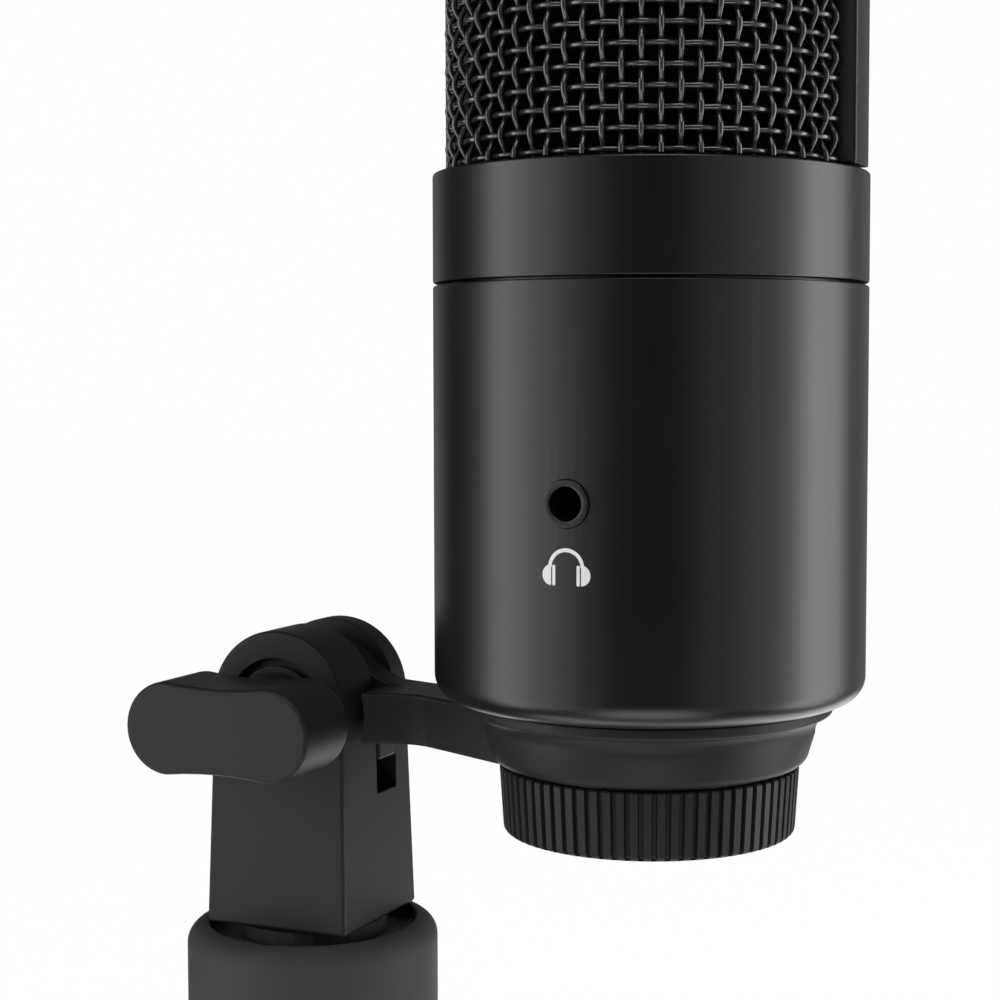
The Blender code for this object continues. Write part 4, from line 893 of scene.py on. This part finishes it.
# %% Clevis block
block = traced((9.75, -PIVOT_RISE), (9.1, 1.05), (0, 1.05, 180), (-9.75, -PIVOT_RISE))
thick(block, -12, 12)
side = traced((9.42, -28.55), (8.6, -5.5), (8.6, 13), (-8.6, 13), (-8.6, -5.5), (-9.42, -28.55))
thick(side, -12, 12)
bmesh.ops.rotate(side, cent=(0, 0, 0), matrix=Matrix.Rotation(pi / 2, 3, "Z"), verts=side.verts)
block = carve(block, [side], "INTERSECT")
soften(block, 0.5, 4)
slot = bmesh.new()
bmesh.ops.create_cube(slot, size=1)
bmesh.ops.scale(slot, vec=(40 * MM, 5 * MM, 30 * MM), verts=slot.verts)
move(slot, (0, 2.5 * MM, 4.3 * MM))
pocket = rod(4.92, 6.2, 12, "Y", steps=6)
stud_room = rod(5.1, -PIVOT_RISE - 3, -PIVOT_RISE + 11.8)
stem_well = rod(6.8, -12, -7.4, "Y", steps=96)
block = carve(block, [slot, rod(2.8, -12, 12, "Y"), pocket, stud_room, stem_well])
soften(block, 0.25, 2, lambda p: p.z > -12 and (abs(p.y) < 0.01 or abs(p.y - 5) < 0.01))
soften(block, 0.15, 2, lambda p: p.y < -8.5 and abs(hypot(p.x, p.z) - 6.8) < 0.02)
close_piece("clevis", move(block, ON_PIVOT), plastic, "block", ["swivel_block"], 30)

# %% [markdown]
# The T-handle tightens the clevis. Its bar has round ends and a slight waist, and it stands on a round stem
# that goes into the well of the front ear.

# %% T-handle
bar = traced((6.75, -5.5), (6.75, 0, 180), (0, 55.9, -15.26), (-6.75, 0, 180), (0, -55.9, -15.26))
thick(bar, -22.2, -12.4)
soften(bar, 0.5, 4)
stem = spun([(0, 8.7), (5.2, 8.7), (5.2, 13), (0, 13)], 64)
soften(stem, 0.3, 2, on_ring(5.2, 8.7))
bmesh.ops.rotate(stem, cent=(0, 0, 0), matrix=Matrix.Rotation(pi / 2, 3, "X"), verts=stem.verts)
bar = carve(bar, [stem], "UNION")
bar = carve(bar, [rod(2.8, -16, -8, "Y")])
close_piece("t_handle", move(bar, ON_PIVOT), plastic, "handle", ["clamp_handle"], 30)

# %% [markdown]
# A steel screw goes from the handle through the ears into a captive nut, over a plain washer.
# All three are turned along Z and then laid along the pivot; the nut is a six-sided cone cut by a hole.

# %% Clamp screw, nut and washer
def along_pivot(bm):
    """Lays a turned piece along the pivot, with its far end to the back."""
    bmesh.ops.rotate(bm, cent=(0, 0, 0), matrix=Matrix.Rotation(-pi / 2, 3, "X"), verts=bm.verts)
    return move(bm, ON_PIVOT)


screw = spun([(0, -15.7), (2.5, -15.7), (2.5, 8.9), (0, 8.9)], 48)
soften(screw, 0.4, 2, on_ring(2.5, 8.9))
close_piece("round_screw", along_pivot(screw), steel, "handle", ["clamp_screw"])
hexagon = carve(rod(4.618, 6.5, 9.2, steps=6), [rod(2.8, 5, 11, steps=48)])
chamfer = spun([(0, 6.4), (4.65, 6.4), (4.65, 8.9), (4.1, 9.25), (0, 9.25)], 48)
hexagon = carve(hexagon, [chamfer], "INTERSECT")
close_piece("hexagon_nut", along_pivot(hexagon), steel, "block", ["captive_nut"], 30)
washer = spun([(2.8, -8.4), (5.8, -8.4), (5.8, -7.7), (2.8, -7.7)], 64)
soften(washer, 0.12, 2)
close_piece("flat_washer", along_pivot(washer), plastic, "clamp_slide", ["clamp_washer"])

# %% [markdown]
# The hub is a turned and coated piece with a soft shoulder and a shallow recess that the block turns in.
# Three slots are cut up into it from below, and the legs fold on pins across them.
# A slot is traced in the plane of its leg, with a sloping roof that stops the spread leg.

# %% Stand hub
HUB_R = (hub_high.x - hub_low.x) / 2 / MM
HUB_LOW, HUB_TOP = hub_low.z / MM, hub_high.z / MM
PIN_RING, PIN_RISE = 10.5, 42
AT_HUB = Vector((hub_axis.x, 0, 0))


def to_leg(bm, number):
    """Takes a shape from the plane of a leg, with its pin at the centre, to its place round the hub."""
    move(bm, (PIN_RING * MM, 0, PIN_RISE * MM))
    turn = Matrix.Rotation((number - 1) * 2 * pi / 3, 3, "Z")
    bmesh.ops.rotate(bm, cent=(0, 0, 0), matrix=turn, verts=bm.verts)
    return bm


hub_outline = [(0, HUB_LOW), (HUB_R, HUB_LOW), (HUB_R, HUB_TOP), (13, HUB_TOP), (13, HUB_TOP - 1.6)]
hub_outline += [(5.06, HUB_TOP - 1.6), (5.06, 54.2), (0, 54.2)]
hub = spun(hub_outline, 144)
soften(hub, 2.5, 10, on_ring(HUB_R, HUB_TOP))
soften(hub, 0.8, 3, on_ring(HUB_R, HUB_LOW))
soften(hub, 0.15, 2, on_ring(13, HUB_TOP))
cuts = []
for number in (1, 2, 3):
    room = traced((7.2, 2.79), (2.325, 5.04), (0, 0, 114.77), (-5.55, -11), (7.2, -11))
    cuts += [to_leg(thick(room, -3.8, 3.8), number), to_leg(rod(1.9, -16, 16, "Y", steps=32), number)]
hub = carve(hub, cuts)
close_piece("round_hub", move(hub, AT_HUB), coated, "stand", ["stand_hub"], 30)

# %% [markdown]
# Each leg is a flat bar with a round eye at its pin and a level pad over its rubber foot.
# One leg is traced and its edges are rounded, and the three are turned copies of it.
# The foot is spun, with a stem that goes up into the pad and two rings round its tread for grip.

# %% Legs, pins and feet
for number, carrier in ((1, "leg_a"), (2, "leg_b"), (3, "leg_c")):
    leg = traced((78, -36.7), (78, -30.21), (2.2, 4.767), (0, 0, 180), (67, -36.7))
    thick(leg, -3.5, 3.5)
    soften(leg, 0.8, 3)
    leg = carve(leg, [rod(1.9, -6, 6, "Y", steps=32), rod(2.3, -38, -32.7, at=(72.5, 0, 0), steps=32)])
    close_piece(f"flat_leg_{number}", move(to_leg(leg, number), AT_HUB), coated, carrier,
                [f"leg_{number}"], 30)
    pin = rod(1.6, -11.07, 11.07, "Y", steps=32)
    soften(pin, 0.25, 2)
    close_piece(f"hinge_pin_{number}", move(to_leg(pin, number), AT_HUB), steel, "stand",
                [f"leg_pin_{number}"])
    tread = [(0, -42), (2.2, -42), (2.4, -41.7), (2.7, -41.7), (2.9, -42)]
    tread += [(3.7, -42), (3.9, -41.7), (4.2, -41.7)]
    foot = spun(tread + [(4.4, -42), (5.5, -42), (5.5, -37), (2, -37), (2, -33), (0, -33)], 64)
    soften(foot, 0.8, 4, on_ring(5.5, -42))
    soften(foot, 0.4, 3, on_ring(5.5, -37))
    move(foot, (72.5 * MM, 0, 0))
    close_piece(f"soft_foot_{number}", move(to_leg(foot, number), AT_HUB), rubber, carrier,
                [f"foot_{number}"])

# %% [markdown]
# The stub under the body is the end of a metal plug that closes the body's floor and holds the USB socket.
# The plug is spun with a fine thread near its end, which shows inside the clamp nut when the
# foot is seen from below.

# %% Base plug
plug_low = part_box("base_plug")[0]
STUB_LOW = (plug_low.z - body_low.z) / MM
thread = []
for turn_of in range(6):
    rise = STUB_LOW + 0.4 + turn_of
    thread += [(10.6, rise), (11, rise + 0.35), (11, rise + 0.55), (10.6, rise + 0.9)]
plug_outline = [(8.6, STUB_LOW), (10.6, STUB_LOW)] + thread + [(11, STUB_LOW + 6.4), (11, 2.3)]
plug = spun(plug_outline + [(21.8, 2.3), (21.8, 4.8), (8.6, 4.8)], 96)
soften(plug, 0.3, 2, on_ring(8.6, STUB_LOW))
close_piece("threaded_plug", move(plug, ON_MIC), coated, "microphone", ["base_plug"], 30)

# %% [markdown]
# The USB inlet is the square kind: a folded metal shell round a plastic tongue with four gilt contacts.
# Both are boxes with soft edges; the shell's mouth is cut with two corners off, and the tongue
# stands in it.

# %% USB inlet
def block_of(width, depth, low, high):
    """A plain block about the microphone's axis, in millimetres."""
    bm = bmesh.new()
    bmesh.ops.create_cube(bm, size=MM)
    bmesh.ops.scale(bm, vec=(width, depth, high - low), verts=bm.verts)
    return move(bm, (0, 0, (low + high) / 2 * MM))


INLET = STUB_LOW + 0.3
inlet = block_of(12, 10.9, INLET, INLET + 16)
soften(inlet, 0.5, 3)
mouth = block_of(8.45, 7.78, INLET - 2, INLET + 9)
soften(mouth, 1.6, 2, lambda p: p.y > 3)
inlet = carve(inlet, [mouth])
soften(inlet, 0.15, 2, lambda p: abs(p.z - INLET) < 0.02 and hypot(p.x, p.y) < 5.6)
close_piece("inlet_shell", move(inlet, ON_MIC), steel, "microphone", ["usb_socket"], 30)
tongue = block_of(5.6, 3.2, INLET + 1, INLET + 9.5)
soften(tongue, 0.3, 2)
close_piece("inlet_tongue", move(tongue, ON_MIC), plastic, "microphone", ["usb_socket"])
contacts = bmesh.new()
for x in (-1.25, 1.25):
    for y in (-1.62, 1.62):
        strip = bmesh.ops.create_cube(contacts, size=MM)["verts"]
        bmesh.ops.scale(contacts, vec=(1.0, 0.1, 7), verts=strip)
        bmesh.ops.translate(contacts, vec=Vector((x, y, INLET + 5.2)) * MM, verts=strip)
close_piece("inlet_contacts", move(contacts, ON_MIC), gilt, "microphone", ["usb_socket"])

# %% [markdown]
# Inside the body are two circuit boards. Their green mask is a little lighter over the copper,
# which a brick pattern of thin joints stands in for, and a slow noise keeps it from being even.

# %% Board finish
board = bpy.data.materials.new("solder_mask")
board.use_nodes = True
tree = board.node_tree
shader = tree.nodes["Principled BSDF"]
shader.inputs["Roughness"].default_value = 0.4
place = tree.nodes.new("ShaderNodeTexCoord")
upright = tree.nodes.new("ShaderNodeMapping")
upright.inputs["Rotation"].default_value = (pi / 2, 0, 0)
copper = tree.nodes.new("ShaderNodeTexBrick")
copper.inputs["Color1"].default_value = (0.012, 0.11, 0.04, 1)
copper.inputs["Color2"].default_value = (0.010, 0.09, 0.034, 1)
copper.inputs["Mortar"].default_value = (0.03, 0.2, 0.08, 1)
copper.inputs["Scale"].default_value = 260.0
copper.inputs["Mortar Size"].default_value = 0.03
patches = tree.nodes.new("ShaderNodeTexNoise")
patches.inputs["Scale"].default_value = 180.0
gloss = tree.nodes.new("ShaderNodeMapRange")
gloss.inputs["To Min"].default_value = 0.3
gloss.inputs["To Max"].default_value = 0.5
tree.links.new(place.outputs["Object"], upright.inputs["Vector"])
tree.links.new(upright.outputs["Vector"], copper.inputs["Vector"])
tree.links.new(copper.outputs["Color"], shader.inputs["Base Color"])
tree.links.new(place.outputs["Object"], patches.inputs["Vector"])
tree.links.new(patches.outputs["Fac"], gloss.inputs["Value"])
tree.links.new(gloss.outputs["Result"], shader.inputs["Roughness"])
print("finish:", board.name)

# %% [markdown]
# The other solids keep their own shapes: what is inside the body, and small plain parts.
# Each gets the finish of its material slot.

# %% Finishes of the other solids
BY_SLOT = {"black_paint": paint, "black_metal": coated, "black_plastic": plastic, "black_wire": wire_coat}
BY_SLOT.update({"steel": steel, "rubber": rubber, "foam": foam, "board": board, "gold_film": gilt})
for entry in frame["record"]["subparts"]:
    node = frame["nodes"][entry["node"]]
    node.data.materials.clear()
    node.data.materials.append(BY_SLOT[entry["material_slot"]])
bpy.context.view_layer.update()
